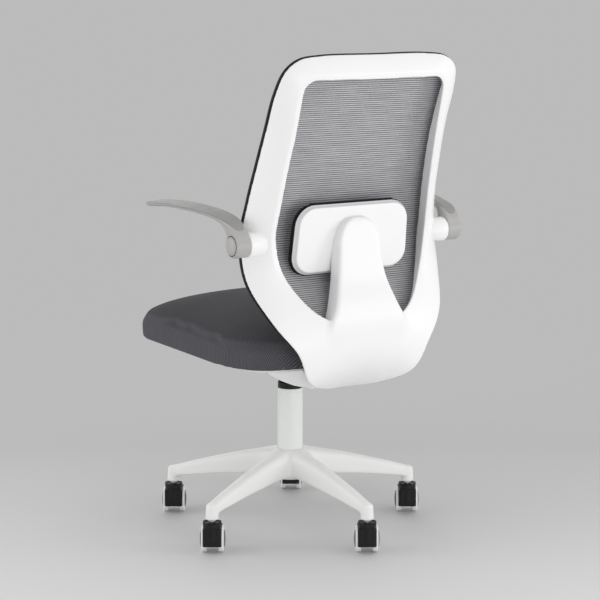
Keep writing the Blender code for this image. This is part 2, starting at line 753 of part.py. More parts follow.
def casters(root, finish):
    """Five swivelling twin-wheel casters, each with its stem, hood, axle and two wheels."""
    hood = hood_mesh()
    flat = math.pi / WHEEL_SIDES
    for number in range(1, CASTER_COUNT + 1):
        way = math.radians(FIRST_LEG_DEGREES + 360 * (number - 1) / CASTER_COUNT)
        place = (CASTER_CIRCLE_RADIUS * math.cos(way), CASTER_CIRCLE_RADIUS * math.sin(way), 0)
        swivel = empty(f"caster_swivel_{number}", place, math.radians(CASTER_HEADING_DEGREES), root)
        collar_low = HOOD_TOP_Z + GAP
        collar_high = collar_low + STEM_COLLAR_HEIGHT
        stem_top = TIP_BOTTOM_Z + STEM_DEPTH
        stem = turned(
            f"caster_stem_{number}",
            [(0, stem_top), (STEM_RADIUS, stem_top), (STEM_RADIUS, collar_high)]
            + [(STEM_COLLAR_RADIUS, collar_high), (STEM_COLLAR_RADIUS, collar_low), (STEM_RADIUS, collar_low)]
            + [(STEM_RADIUS, HOOD_TOP_Z - STEM_DEPTH + GAP), (0, HOOD_TOP_Z - STEM_DEPTH + GAP)],
            STEM_SIDES,
        )
        put(stem, swivel, finish["steel"])
        put(link(f"caster_hood_{number}", hood.copy()), swivel, finish["black"])
        hub_place = (0, CASTER_TRAIL, WHEEL_RADIUS)
        shaft = disc(AXLE_RADIUS, AXLE_HALF_LENGTH, -AXLE_HALF_LENGTH)
        axle = turned(f"caster_axle_{number}", shaft, STEM_SIDES)
        put(axle, swivel, finish["steel"], hub_place, (0, math.pi / 2, 0))
        for side, turn in (("left", math.pi / 2), ("right", -math.pi / 2)):
            wheel = turned(f"caster_wheel_{number}_{side}", wheel_profile(), WHEEL_SIDES, start=flat)
            put(wheel, swivel, finish["tread"], hub_place, (0, turn, 0))


def column(root, finish):
    """The fixed outer tube with its cover, bush and bearing."""
    inside = TUBE_RADIUS - TUBE_WALL
    rod_hole = ROD_RADIUS + GAP
    floor_z = TUBE_BOTTOM_Z + TUBE_FLOOR
    tube_profile = [
        (TUBE_RADIUS, SLEEVE_TOP_Z - GAP),
        (TUBE_RADIUS, TUBE_BOTTOM_Z),
        (rod_hole, TUBE_BOTTOM_Z),
        (rod_hole, floor_z),
        (inside, floor_z),
        (inside, SLEEVE_TOP_Z - GAP),
    ]
    put(turned("column_tube", tube_profile, 25, True), root, finish["steel"])
    sleeve_inside = TUBE_RADIUS + GAP
    sleeve = ring(sleeve_inside + SLEEVE_WALL, sleeve_inside, SLEEVE_TOP_Z, SLEEVE_BOTTOM_Z)
    put(turned("column_sleeve", sleeve, 36, True), root, finish["sleeve"])
    bush_inside = CYLINDER_RADIUS + GAP
    flange_low = SLEEVE_TOP_Z + GAP
    bush = [
        (BUSH_FLANGE_RADIUS, BUSH_TOP_Z),
        (BUSH_FLANGE_RADIUS, flange_low),
        (inside - GAP, flange_low),
        (inside - GAP, SLEEVE_TOP_Z - BUSH_DEPTH),
        (bush_inside, SLEEVE_TOP_Z - BUSH_DEPTH),
        (bush_inside, BUSH_TOP_Z),
    ]
    put(turned("guide_bush", bush, 20, True), root, finish["black"])
    low = floor_z + GAP
    bearing = ring(inside - GAP, rod_hole, low + BEARING_HEIGHT, low)
    put(turned("thrust_bearing", bearing, 20, True), root, finish["steel"])


def gas_lift(swivel, lift, finish):
    """Piston rod held in the tube's floor, cylinder that slides up with the seat, release button."""
    head_top = TUBE_BOTTOM_Z - GAP
    rod_top = head_top + ROD_LENGTH
    rod = [
        (0, rod_top),
        (ROD_RADIUS, rod_top),
        (ROD_RADIUS, head_top),
        (ROD_HEAD_RADIUS, head_top),
        (ROD_HEAD_RADIUS, head_top - ROD_HEAD_HEIGHT),
        (0, head_top - ROD_HEAD_HEIGHT),
    ]
    put(turned("piston_rod", rod, 14), swivel, finish["steel"])
    bottom = CYLINDER_TOP_Z - CYLINDER_LENGTH
    bore = ROD_RADIUS + GAP
    well = BUTTON_RADIUS + GAP
    cylinder = [
        (well, CYLINDER_TOP_Z),
        (CYLINDER_RADIUS, CYLINDER_TOP_Z),
        (CYLINDER_RADIUS, bottom),
        (bore, bottom),
        (bore, rod_top + GAP),
        (0, rod_top + GAP),
    ]
    cylinder = [(0, CYLINDER_TOP_Z - BUTTON_WELL), (well, CYLINDER_TOP_Z - BUTTON_WELL)] + cylinder
    put(turned("gas_cylinder", cylinder, 20), lift, finish["steel"])
    button_top = CYLINDER_TOP_Z + BUTTON_PROUD
    button = empty("button_slide", (0, 0, button_top), parent=lift)
    put(turned("release_button", disc(BUTTON_RADIUS, 0, -BUTTON_LENGTH), 12), button, finish["steel"])


def housing(lift, finish):
    """Pressed-steel channel with the cylinder socket, the axle holes and the lever's lugs."""
    low, step_z = FLOOR_BOTTOM_Z, FLOOR_BOTTOM_Z + HOUSING_REAR_HEIGHT
    top = FLOOR_BOTTOM_Z + HOUSING_FRONT_HEIGHT
    outline = [
        (HOUSING_FRONT_Y, low),
        (HOUSING_REAR_Y, low),
        (HOUSING_REAR_Y, step_z),
        (HOUSING_STEP_Y, step_z),
        (HOUSING_STEP_Y - HOUSING_REAR_HEIGHT, top),
        (HOUSING_FRONT_Y, top),
    ]
    body = upright("mechanism_housing", outline, -HOUSING_HALF_WIDTH, HOUSING_HALF_WIDTH)
    inner = HOUSING_HALF_WIDTH - HOUSING_WALL
    hollow = box(
        "housing_hollow",
        (-inner, HOUSING_FRONT_Y + HOUSING_WALL, FLOOR_TOP_Z),
        (inner, HOUSING_REAR_Y - HOUSING_WALL, top + HOUSING_WALL),
        CUTTERS,
    )
    socket_profile = disc(SOCKET_RADIUS, FLOOR_TOP_Z + SOCKET_RISE, SOCKET_BOTTOM_Z)
    socket = turned("socket", socket_profile, 20, collection=CUTTERS)
    bore = turned(
        "socket_bore",
        disc(CYLINDER_RADIUS + GAP, FLOOR_TOP_Z + 2 * SOCKET_RISE, SOCKET_BOTTOM_Z - SOCKET_RISE),
        20,
        collection=CUTTERS,
    )
    beyond = 2 * HOUSING_HALF_WIDTH
    axle_hole = pin("axle_bore", TILT_AXLE_RADIUS + GAP, (-beyond, TILT_PIVOT_Y, TILT_PIVOT_Z),
                    (beyond, TILT_PIVOT_Y, TILT_PIVOT_Z), 16, CUTTERS)
    bolt_z = low + TENSION_BOLT_HEIGHT
    bolt_hole = pin("bolt_bore", TENSION_BOLT_RADIUS + GAP, (0, HOUSING_FRONT_Y - HOUSING_WALL, bolt_z),
                    (0, HOUSING_FRONT_Y + 2 * HOUSING_WALL, bolt_z), 12, CUTTERS)
    notch_half = LEVER_RADIUS + 6 * GAP
    notch = box("lever_notch", (-beyond, -notch_half, LEVER_Z - 2 * LEVER_RADIUS),
                (-inner + HOUSING_WALL, notch_half, top), CUTTERS)
    lugs = []
    lug_inner = LEVER_BARREL_HALF + GAP
    for side in (-1, 1):
        near, far = sorted((side * lug_inner, side * (lug_inner + LEVER_LUG_WALL)))
        lugs.append(
            box(f"lug_{side}", (-inner - HOUSING_WALL / 2, near, FLOOR_BOTTOM_Z + HOUSING_FLOOR / 2),
                (-inner + LEVER_LUG_LENGTH, far, LEVER_Z + LEVER_BARREL_RADIUS), CUTTERS)
        )
    stub_hole = pin("stub_bore", LEVER_STUB_RADIUS + GAP, (LEVER_PIVOT_X, -notch_half * 4, LEVER_Z),
                    (LEVER_PIVOT_X, notch_half * 4, LEVER_Z), 10, CUTTERS)
    boolean(body, "DIFFERENCE", hollow, notch)
    boolean(body, "UNION", socket, *lugs)
    boolean(body, "DIFFERENCE", bore, axle_hole, bolt_hole, stub_hole)
    tools = (hollow, notch, socket, *lugs, bore, axle_hole, bolt_hole, stub_hole)
    put(settle(body, *tools), lift, finish["dark_steel"])


def tilt_gear(lift, finish):
    """Tilt axle, coil spring, and the tension bolt with its knob in front of the housing."""
    ear_outer = HOUSING_HALF_WIDTH + 2 * GAP + EAR_WALL
    head_in = ear_outer + GAP
    head_out = head_in + TILT_AXLE_HEAD
    axle = turned(
        "tilt_axle",
        [(0, head_out), (TILT_AXLE_HEAD_RADIUS, head_out), (TILT_AXLE_HEAD_RADIUS, head_in)]
        + [(TILT_AXLE_RADIUS, head_in), (TILT_AXLE_RADIUS, -head_in), (TILT_AXLE_HEAD_RADIUS, -head_in)]
        + [(TILT_AXLE_HEAD_RADIUS, -head_out), (0, -head_out)],
        16,
    )
    put(axle, lift, finish["steel"], (0, TILT_PIVOT_Y, TILT_PIVOT_Z), (0, math.pi / 2, 0))

    low = FLOOR_TOP_Z + GAP + SPRING_WIRE_RADIUS
    high = PLATE_BOTTOM_Z - GAP - SPRING_WIRE_RADIUS
    count = SPRING_TURNS * SPRING_POINTS_PER_TURN + 1
    share = np.linspace(0, 1, count)
    angle = 2 * math.pi * SPRING_TURNS * share
    around = [SPRING_RADIUS * np.cos(angle), SPRING_Y + SPRING_RADIUS * np.sin(angle)]
    coil = np.stack([*around, low + (high - low) * share], axis=1)
    gap = least_coil_gap(coil, SPRING_WIRE_RADIUS, SPRING_POINTS_PER_TURN)
    print(f"tilt spring: least gap to itself {gap * 1000:.2f} mm")
    put(tube("tilt_spring", coil, SPRING_WIRE_RADIUS, 1), lift, finish["steel"])

    turn = empty("tension_turn", (0, HOUSING_FRONT_Y, FLOOR_BOTTOM_Z + TENSION_BOLT_HEIGHT), parent=lift)
    outward = (math.pi / 2, 0, 0)
    inside = -HOUSING_WALL - GAP
    knob_low = GAP
    bolt_top = knob_low + KNOB_HEIGHT / 2
    bolt_end = bolt_top - TENSION_BOLT_LENGTH
    bolt = [
        (0, bolt_top),
        (TENSION_BOLT_RADIUS, bolt_top),
        (TENSION_BOLT_RADIUS, inside),
        (TENSION_COLLAR_RADIUS, inside),
        (TENSION_COLLAR_RADIUS, inside - TENSION_COLLAR_LENGTH),
        (TENSION_BOLT_RADIUS, inside - TENSION_COLLAR_LENGTH),
        (TENSION_BOLT_RADIUS, bolt_end),
        (0, bolt_end),
    ]
    put(turned("tension_bolt", bolt, 14), turn, finish["steel"], rotation=outward)
    angle = np.arange(4 * KNOB_LOBES) * 2 * math.pi / (4 * KNOB_LOBES)
    reach = KNOB_RADIUS - KNOB_LOBE_DEPTH * (1 - np.cos(KNOB_LOBES * angle)) / 2
    outline = np.stack([reach * np.cos(angle), reach * np.sin(angle)], axis=1)
    knob = plate("tension_knob", outline, KNOB_HEIGHT)
    bore_profile = disc(TENSION_BOLT_RADIUS + GAP, KNOB_HEIGHT / 2 + GAP, -KNOB_HEIGHT)
    knob_bore = turned("knob_bore", bore_profile, 12, collection=CUTTERS)
    boolean(knob, "DIFFERENCE", knob_bore)
    put(settle(knob, knob_bore), turn, finish["black"], (0, -knob_low, 0), outward)


def height_lever(lift, finish):
    """Lever that presses the release button when its grip is raised."""
    pivot = empty("lever_pivot", (LEVER_PIVOT_X, 0, LEVER_Z), parent=lift)
    droop = math.tan(math.radians(LEVER_DROOP_DEGREES))
    path = [
        (LEVER_TIP_X - LEVER_PIVOT_X, 0, 0),
        (LEVER_ELBOW_X - LEVER_PIVOT_X, 0, 0),
        (LEVER_END_X - LEVER_PIVOT_X, 0, droop * (LEVER_END_X - LEVER_ELBOW_X)),
    ]
    rod = tube("lift_lever", path, LEVER_RADIUS, 2)
    ends = (0, -LEVER_BARREL_HALF, 0), (0, LEVER_BARREL_HALF, 0)
    barrel = pin("lever_barrel", LEVER_BARREL_RADIUS, *ends, 16, CUTTERS)
    stub_half = LEVER_BARREL_HALF + LEVER_LUG_WALL
    stub = pin("lever_stub", LEVER_STUB_RADIUS, (0, -stub_half, 0), (0, stub_half, 0), 14, CUTTERS)
    boolean(rod, "UNION", barrel, stub)
    put(settle(rod, barrel, stub), pivot, finish["dark_steel"])

    end = np.array(path[2])
    slope = math.radians(LEVER_DROOP_DEGREES)
    way = np.array([math.cos(slope), 0, math.sin(slope)])
    lift_way = np.array([-way[2], 0, way[0]])
    rings = []
    stations = ((0.0, 0.75), (0.12, 1.0), (0.75, 1.0), (0.93, 0.9), (1.0, 0.6))
    for share, fullness in stations:
        centre = end + way * (GRIP_BITE - GRIP_LENGTH * share)
        wide = GRIP_HALF_WIDTH * (0.65 + 0.35 * min(1.0, 2.2 * share)) * fullness
        tall = GRIP_HALF_THICKNESS * fullness
        section = rounded_rectangle(wide, tall, 0.6 * tall, 2)
        rings.append([centre + np.array([0, y, 0]) + lift_way * z for y, z in section])
    grip = loft("lever_grip", rings)
    bored = [end + way * 2 * GRIP_BITE, end - way * GAP]
    well = tube("grip_well", bored, LEVER_RADIUS + GAP, 2, collection=CUTTERS)
    boolean(grip, "DIFFERENCE", well)
    put(settle(grip, well), pivot, finish["black"])


def seat(tilt, finish):
    """Steel plate on the tilt axle, bolts, moulded pan and the cushion."""
    ear_in = HOUSING_HALF_WIDTH + 2 * GAP
    body = box(
        "seat_plate",
        (-SEAT_PLATE_HALF_WIDTH, SEAT_PLATE_FRONT_Y, PLATE_BOTTOM_Z),
        (SEAT_PLATE_HALF_WIDTH, SEAT_PLATE_REAR_Y, PLATE_TOP_Z),
    )
    joins = []
    for side in (-1, 1):
        near, far = sorted((side * ear_in, side * (ear_in + EAR_WALL)))
        joins.append(
            box(
                f"ear_{side}",
                (near, TILT_PIVOT_Y - EAR_HALF_LENGTH, TILT_PIVOT_Z - EAR_DROP),
                (far, TILT_PIVOT_Y + EAR_HALF_LENGTH, PLATE_BOTTOM_Z + SEAT_PLATE_THICKNESS / 2),
                CUTTERS,
            )
        )
    beyond = 2 * SEAT_PLATE_HALF_WIDTH
    cuts = [pin("ear_bore", TILT_AXLE_RADIUS + GAP, (-beyond, TILT_PIVOT_Y, TILT_PIVOT_Z),
                (beyond, TILT_PIVOT_Y, TILT_PIVOT_Z), 16, CUTTERS)]
    pan_outline = rounded_rectangle(PAN_HALF_WIDTH, PAN_HALF_LENGTH, PAN_CORNER_RADIUS, 5, (0, SEAT_CENTRE_Y))
    pan = plate("seat_pan", pan_outline, PAN_THICKNESS)
    pan_cuts = []
    places = [(side * BOLT_X, y) for side in (-1, 1) for y in (BOLT_FRONT_Y, BOLT_REAR_Y)]
    bolt_top = PAN_BOTTOM_Z + BOLT_BITE
    head_top = PLATE_BOTTOM_Z - GAP
    for number, (x, y) in enumerate(places, 1):
        low, high = (x, y, head_top - BOLT_HEAD_HEIGHT), (x, y, bolt_top + GAP)
        cuts.append(pin(f"plate_hole_{number}", BOLT_RADIUS + GAP, low, high, 10, CUTTERS))
        low, high = (x, y, -PAN_THICKNESS), (x, y, BOLT_BITE + GAP)
        pan_cuts.append(pin(f"pan_hole_{number}", BOLT_RADIUS + GAP, low, high, 10, CUTTERS))
        bolt = [
            (0, bolt_top),
            (BOLT_RADIUS, bolt_top),
            (BOLT_RADIUS, head_top),
            (BOLT_HEAD_RADIUS, head_top),
            (BOLT_HEAD_RADIUS, head_top - BOLT_HEAD_HEIGHT),
            (0, head_top - BOLT_HEAD_HEIGHT),
        ]
        put(turned(f"seat_bolt_{number}", bolt, 8), tilt, finish["steel"], (x, y, 0))
    boolean(body, "UNION", *joins)
    boolean(body, "DIFFERENCE", *cuts)
    put(settle(body, *joins, *cuts), tilt, finish["dark_steel"])
    boolean(pan, "DIFFERENCE", *pan_cuts)
    put(settle(pan, *pan_cuts), tilt, finish["white"], (0, 0, PAN_BOTTOM_Z))
    cushion = pillow(
        "seat_cushion", CUSHION_HALF_WIDTH, CUSHION_HALF_LENGTH, CUSHION_SIDE_HEIGHT, CUSHION_CROWN,
        CUSHION_BOTTOM_INSET, CUSHION_SHOULDER, CUSHION_PULL_IN, CUSHION_SQUARENESS, CUSHION_POINTS,
    )
    for vert in cushion.data.vertices:
        share = (-vert.co.y - CUSHION_FALL_START) / (CUSHION_HALF_LENGTH - CUSHION_FALL_START)
        vert.co.z *= 1 - CUSHION_FRONT_FALL * max(share, 0.0) ** 1.5
    put(cushion, tilt, finish["fabric"], (0, SEAT_CENTRE_Y, CUSHION_BOTTOM_Z), smooth=60)


def full_loop(half):
    """A closed loop of points from a half outline, its mirror image following it."""
    half = np.array(half, float)
    mirrored = half[-2:0:-1] * (-1, 1, 1)
    return smooth_path(np.vstack([half, mirrored]), BACK_SPAN_STEPS, closed=True)


def back_shell():
    """The ring of the back frame as an open surface: front lip, bulging back, return to the mesh."""
    rim, edge = full_loop(BACK_RIM), full_loop(BACK_EDGE)
    lip = rim + (0, BACK_LIP, 0)
    crest = lip + (edge - lip) * (BACK_BULGE, 0, BACK_BULGE)
    crest[:, 1] = np.maximum(edge[:, 1], lip[:, 1] + BACK_CROWN)
    rows = [rim]
    for step in range(BACK_SECTION_STEPS + 1):
        share = step / BACK_SECTION_STEPS
        rows.append(lip * (1 - share) ** 2 + crest * 2 * share * (1 - share) + edge * share**2)
    outward = (rim - edge) * (1, 0, 1)
    outward /= np.linalg.norm(outward, axis=1)[:, None]
    inner = edge + outward * BACK_RETURN_DRAFT
    inner[:, 1] -= np.clip(BACK_RETURN * (edge - rim)[:, 1], BACK_LEAST_RETURN, BACK_MOST_RETURN)
    rows.append(inner)
    grid = np.stack(rows, axis=1)
    stations, across = grid.shape[:2]
    faces = []
    for station in range(stations):
        after = (station + 1) % stations
        for row in range(across - 1):
            here, there = station * across + row, after * across + row
            faces.append([here, there, there + 1, here + 1])
    mesh = bpy.data.meshes.new("back_frame")
    mesh.from_pydata([tuple(map(float, point)) for point in grid.reshape(-1, 3)], [], faces)
    shell = link("back_frame", mesh)
    wall = shell.modifiers.new("wall", "SOLIDIFY")
    wall.thickness = BACK_WALL
    wall.offset = -1
    wall.use_even_offset = True
    return shell


def lumbar_post():
    """Tapered post that grows out of the frame's base and ends behind the lumbar plate."""
    rings = []
    plate_back = lumbar_back_y()
    seated = plate_back + GAP
    rows = list(LUMBAR_POST)
    for half, thickness, rise in LUMBAR_POST_HEAD:
        rows.append((half, seated, plate_back + thickness, LUMBAR_CENTRE_HEIGHT + rise))
    for half, front, back, height in smooth_path(rows, LUMBAR_POST_STEPS):
        front = max(front, seated)
        middle, half_depth = (front + back) / 2, (back - front) / 2
        section = rounded_rectangle(half, half_depth, 0.35 * half_depth, 2)
        rings.append([(x, middle + y, height) for x, y in section])
    return loft("lumbar_post", rings, CUTTERS)


def foot():
    """Fork under the seat pan: two cheeks beside the mechanism and a floor behind it."""
    outline = [(y, -drop) for y, drop in FOOT_OUTLINE]
    outline += [(FOOT_OUTLINE[-1][0] + BACK_WALL, -GAP), (FOOT_OUTLINE[0][0], -GAP)]
    body = upright("foot", outline, -FOOT_HALF_WIDTH, FOOT_HALF_WIDTH, CUTTERS)
    inner = FOOT_SLOT_HALF_WIDTH
    below = -2 * FOOT_HALF_WIDTH
    above = FOOT_HALF_WIDTH
    slot = box("foot_slot", (-inner, -inner, below), (inner, FOOT_FLOOR_FRONT_Y, above), CUTTERS)
    floor_z = FOOT_FLOOR_THICKNESS - FOOT_OUTLINE[-3][1]
    tray_low = (-inner, FOOT_FLOOR_FRONT_Y - inner, floor_z)
    tray = box("foot_tray", tray_low, (inner, FOOT_FLOOR_REAR_Y, above), CUTTERS)
    boolean(body, "DIFFERENCE", slot, tray)
    return settle(body, slot, tray)


def back_frame(tilt, finish):
    """Shell, lumbar post, foot and arm bosses in one moulding, with heights above the pan's underside."""
    shell = settle(back_shell())
    joins = [lumbar_post(), foot()]
    cuts = []
    pin_inner = ARM_BOSS_OUTER_X - ARM_PIN_BITE
    nose = [(ARM_BOSS_RADIUS * math.cos(angle), ARM_BOSS_INNER_X + ARM_BOSS_NOSE * (1 - math.sin(angle)))
            for angle in np.radians([0, 18, 36, 54, 72, 81])]
    profile = [(0, ARM_BOSS_OUTER_X), (ARM_BOSS_RADIUS, ARM_BOSS_OUTER_X), *nose, (0, ARM_BOSS_INNER_X)]
    for side in (-1, 1):
        boss = turned(f"boss_{side}", profile, 24, collection=CUTTERS)
        boss.location = (0, ARM_PIVOT_Y, ARM_PIVOT_HEIGHT)
        boss.rotation_euler.y = side * math.pi / 2
        joins.append(boss)
        cuts.append(
            pin(f"pin_hole_{side}", ARM_PIN_RADIUS + GAP, (side * (pin_inner - GAP), ARM_PIVOT_Y, ARM_PIVOT_HEIGHT),
                (side * (ARM_BOSS_OUTER_X + ARM_PIN_BITE), ARM_PIVOT_Y, ARM_PIVOT_HEIGHT), 18, CUTTERS)
        )
    boolean(shell, "UNION", *joins)
    boolean(shell, "DIFFERENCE", *cuts)
    put(settle(shell, *joins, *cuts), tilt, finish["white"], (0, 0, PAN_BOTTOM_Z), smooth=40)


def mesh_border():
    """Half border of the mesh before the frame's rim, from the top centre round a bottom corner."""
    rim = full_loop(BACK_RIM)[: (len(BACK_RIM) - 1) * BACK_SPAN_STEPS + 1]
    bottom = MESH_BOTTOM_HEIGHT
    side = rim[rim[:, 2] > bottom + MESH_BOTTOM_CORNER]
    angle = np.radians([20, 45, 70, 90])
    heights = bottom + MESH_BOTTOM_CORNER * (1 - np.sin(angle))
    upward = rim[::-1]
    half = np.interp(heights, upward[:, 2], upward[:, 0]) - MESH_BOTTOM_CORNER * (1 - np.cos(angle))
    depth = np.interp(heights, upward[:, 2], upward[:, 1])
    border = np.vstack([side, np.stack([half, depth, heights], axis=1)])
    run = np.hypot(np.gradient(border[:, 0]), np.gradient(border[:, 2]))
    lean = np.sqrt(1 + (np.gradient(border[:, 1]) / run) ** 2)
    border[:, 1] -= (RIM_RADIUS + 2 * GAP) * lean
    return border


def mesh_grid():
    """Points of the stretched mesh, row by row down from its top, bowed between its sides."""
    rows = mesh_border()[BACK_SPAN_STEPS:]
    inset = RIM_RADIUS + MESH_BORDER_GAP
    middle, reach = (rows[0, 2] + rows[-1, 2]) / 2, (rows[0, 2] - rows[-1, 2]) / 2
    heights = middle + (rows[:, 2] - middle) * (1 - inset / reach)
    across = np.linspace(-1, 1, MESH_COLUMNS + 1)
    x = (rows[:, 0] * (1 - inset / rows[:, 0].max()))[:, None] * across[None]
    bow = MESH_BOW * np.sin(math.pi * (heights - heights[-1]) / (heights[0] - heights[-1]))[:, None]
    y = np.interp(-heights, -rows[:, 2], rows[:, 1])[:, None] + bow * (1 - across[None] ** 2)
    return np.stack([x, y, np.broadcast_to(heights[:, None], x.shape)], axis=2)


def lumbar_back_y():
    """Depth of the lumbar plate's back: the mesh's rearmost point near it, then the pad, then the plate."""
    points = mesh_grid()
    near = np.abs(points[:, :, 2] - LUMBAR_CENTRE_HEIGHT) < LUMBAR_HALF_HEIGHT + 2 * PAD_BORDER
    return points[near][:, 1].max() + MESH_THICKNESS + GAP + PAD_THICKNESS + GAP + LUMBAR_THICKNESS


def back_mesh(tilt, finish):
    """Stretched mesh panel and the dark rim that carries its border on the frame."""
    border = mesh_border()
    loop = np.vstack([border, border[:0:-1] * (-1, 1, 1)])
    put(tube("mesh_rim", loop, RIM_RADIUS, 1, cyclic=True), tilt, finish["black"], (0, 0, PAN_BOTTOM_Z))

    points = mesh_grid()
    width = MESH_COLUMNS + 1
    faces = []
    for row in range(len(points) - 1):
        for place in range(MESH_COLUMNS):
            here = row * width + place
            faces.append([here, here + 1, here + width + 1, here + width])
    mesh = bpy.data.meshes.new("back_mesh")
    mesh.from_pydata([tuple(map(float, point)) for point in points.reshape(-1, 3)], [], faces)
    panel = link("back_mesh", mesh)
    thick = panel.modifiers.new("cloth", "SOLIDIFY")
    thick.thickness = MESH_THICKNESS
    thick.offset = 0
    put(panel, tilt, finish["mesh"], (0, 0, PAN_BOTTOM_Z))


def lumbar(tilt, finish):
    """White lumbar plate on the post, with a pad between it and the mesh."""
    centre_z = PAN_BOTTOM_Z + LUMBAR_CENTRE_HEIGHT
    outline = rounded_rectangle(LUMBAR_HALF_WIDTH, LUMBAR_HALF_HEIGHT, LUMBAR_CORNER_RADIUS, 5)
    board = plate("lumbar_plate", outline, LUMBAR_THICKNESS)
    soft = board.modifiers.new("edges", "BEVEL")
    soft.width = 0.25 * LUMBAR_THICKNESS
    soft.segments = 2
    back_y = lumbar_back_y()
    put(board, tilt, finish["white"], (0, back_y, centre_z), (math.pi / 2, 0, 0))
    half_x, half_z = LUMBAR_HALF_WIDTH + PAD_BORDER, LUMBAR_HALF_HEIGHT + PAD_BORDER
    # Three fifths of the pad's thickness is its side, the rest its crown
    side, crown = 0.6 * PAD_THICKNESS, 0.4 * PAD_THICKNESS
    pad = pillow("lumbar_pad", half_x, half_z, side, crown, side / 3, 2 * crown, side / 3, PAD_SQUARENESS,
                 CUSHION_POINTS // 3)
    place = (0, back_y - LUMBAR_THICKNESS - GAP, centre_z)
    put(pad, tilt, finish["fabric"], place, (math.pi / 2, 0, 0), smooth=60)


def blade_section(station, inset, start, end, edge):
    """One rounded section of the arm, between two distances down from its top line."""
    top, bottom = np.array(station[0:2]), np.array(station[2:4])
    down = (bottom - top) / np.linalg.norm(bottom - top)
    end = np.linalg.norm(bottom - top) if end is None else end
    left, right = station[4] + inset, station[5] - inset
    corners = (
        (left + edge, start),
        (right - edge, start),
        (right, start + edge),
        (right, end - edge),
        (right - edge, end),
        (left + edge, end),
        (left, end - edge),
        (left, start + edge),
    )
    flat = [(x, top + down * depth) for x, depth in corners]
    return np.array([(x, -forward, rise) for x, (forward, rise) in flat])


def armrests(tilt, finish):
    """Two flip-up arms on pins in the frame's bosses, each with its top pad and pivot cap."""
    for name, side in (("left", 1), ("right", -1)):
        pin_start = side * (ARM_BOSS_OUTER_X - ARM_PIN_BITE)
        pivot = empty(f"arm_pivot_{name}", (0, ARM_PIVOT_Y, ARM_PIVOT_Z), parent=tilt)
        cap_low = ARM_HUB_OUTER_X - ARM_CAP_THICKNESS
        head_high = cap_low - GAP
        head_low = head_high - ARM_PIN_HEAD
        shank = pin(f"arm_pin_{name}", ARM_PIN_RADIUS, (pin_start, 0, 0), (side * head_high, 0, 0), 18)
        head_ends = (side * head_low, 0, 0), (side * (head_high + GAP / 3), 0, 0)
        head = pin("pin_head", ARM_PIN_HEAD_RADIUS, *head_ends, 18, CUTTERS)
        boolean(shank, "UNION", head)
        put(settle(shank, head), pivot, finish["steel"])

        hub_ends = (side * ARM_HUB_INNER_X, 0, 0), (side * ARM_HUB_OUTER_X, 0, 0)
        hub = pin(f"armrest_{name}", ARM_HUB_RADIUS, *hub_ends, 32)
        mirror = np.array([side, 1, 1])
        rings = []
        for number, station in enumerate(ARM_BLADE):
            start = ARM_PAD_THICKNESS + GAP if number >= ARM_PAD_FIRST_STATION else 0.0
            rings.append(blade_section(station, 0.0, start, None, ARM_EDGE_ROUND / 2) * mirror)
        blade = loft(f"blade_{name}", rings, CUTTERS)
        bore = pin("arm_bore", ARM_PIN_RADIUS + GAP, (0, 0, 0), (side * 2 * ARM_HUB_OUTER_X, 0, 0), 18, CUTTERS)
        recess = pin("arm_recess", ARM_CAP_RADIUS + GAP, (side * (head_low - GAP), 0, 0),
                     (side * 2 * ARM_HUB_OUTER_X, 0, 0), 28, CUTTERS)
        boolean(hub, "UNION", blade)
        boolean(hub, "DIFFERENCE", bore, recess)
        put(settle(hub, blade, bore, recess), pivot, finish["grey"], smooth=40)

        pad_rings = [
            blade_section(station, ARM_PAD_INSET, 0.0, ARM_PAD_THICKNESS, ARM_EDGE_ROUND / 2) * mirror
            for number, station in enumerate(ARM_BLADE)
            if number >= ARM_PAD_FIRST_STATION
        ]
        put(loft(f"arm_pad_{name}", pad_rings), pivot, finish["pad"], smooth=40)
        cap = turned(
            f"arm_cap_{name}",
            [(0, ARM_CAP_THICKNESS + ARM_CAP_DOME), (0.6 * ARM_CAP_RADIUS, ARM_CAP_THICKNESS + 0.8 * ARM_CAP_DOME)]
            + [(ARM_CAP_RADIUS, ARM_CAP_THICKNESS), (ARM_CAP_RADIUS, 0), (0, 0)],
            28,
        )
        put(cap, pivot, finish["grey"], (side * cap_low, 0, 0), (0, side * math.pi / 2, 0))


def centre_on_floor(root):
    """Move the whole chair so that the middle of its box is above the origin."""
    bpy.context.view_layer.update()
    graph = bpy.context.evaluated_depsgraph_get()
    corners = []
    for item in bpy.data.collections[PARTS].objects:
        if item.type == "MESH":
            shape = item.evaluated_get(graph)
            mesh = shape.to_mesh()
            flat = np.empty(len(mesh.vertices) * 3, np.float32)
            mesh.vertices.foreach_get("co", flat)
            place = np.array(shape.matrix_world)
            corners.append(flat.reshape(-1, 3) @ place[:3, :3].T + place[:3, 3])
            shape.to_mesh_clear()
    corners = np.vstack(corners)
    middle = (corners.min(0) + corners.max(0)) / 2
    root.location = (-middle[0], -middle[1], -corners[:, 2].min())
    print(f"chair box {np.round(np.ptp(corners, axis=0), 4)} m, moved by {np.round(root.location, 5)}")


def main():
    """Build the chair."""
    clear_scene()
    finish = finishes()
    root = empty("chair")
    base_star(root, finish)
    casters(root, finish)
    column(root, finish)
    swivel = empty("seat_swivel", parent=root)
    lift = empty("seat_lift", parent=swivel)
    gas_lift(swivel, lift, finish)
    housing(lift, finish)
    tilt_gear(lift, finish)
    height_lever(lift, finish)
    pivot = empty("tilt_pivot", (0, TILT_PIVOT_Y, TILT_PIVOT_Z), parent=lift)
    tilt = empty("tilt_frame", (0, -TILT_PIVOT_Y, -TILT_PIVOT_Z), parent=pivot)
    seat(tilt, finish)
    back_frame(tilt, finish)
    back_mesh(tilt, finish)
    lumbar(tilt, finish)
    armrests(tilt, finish)
    centre_on_floor(root)


main()
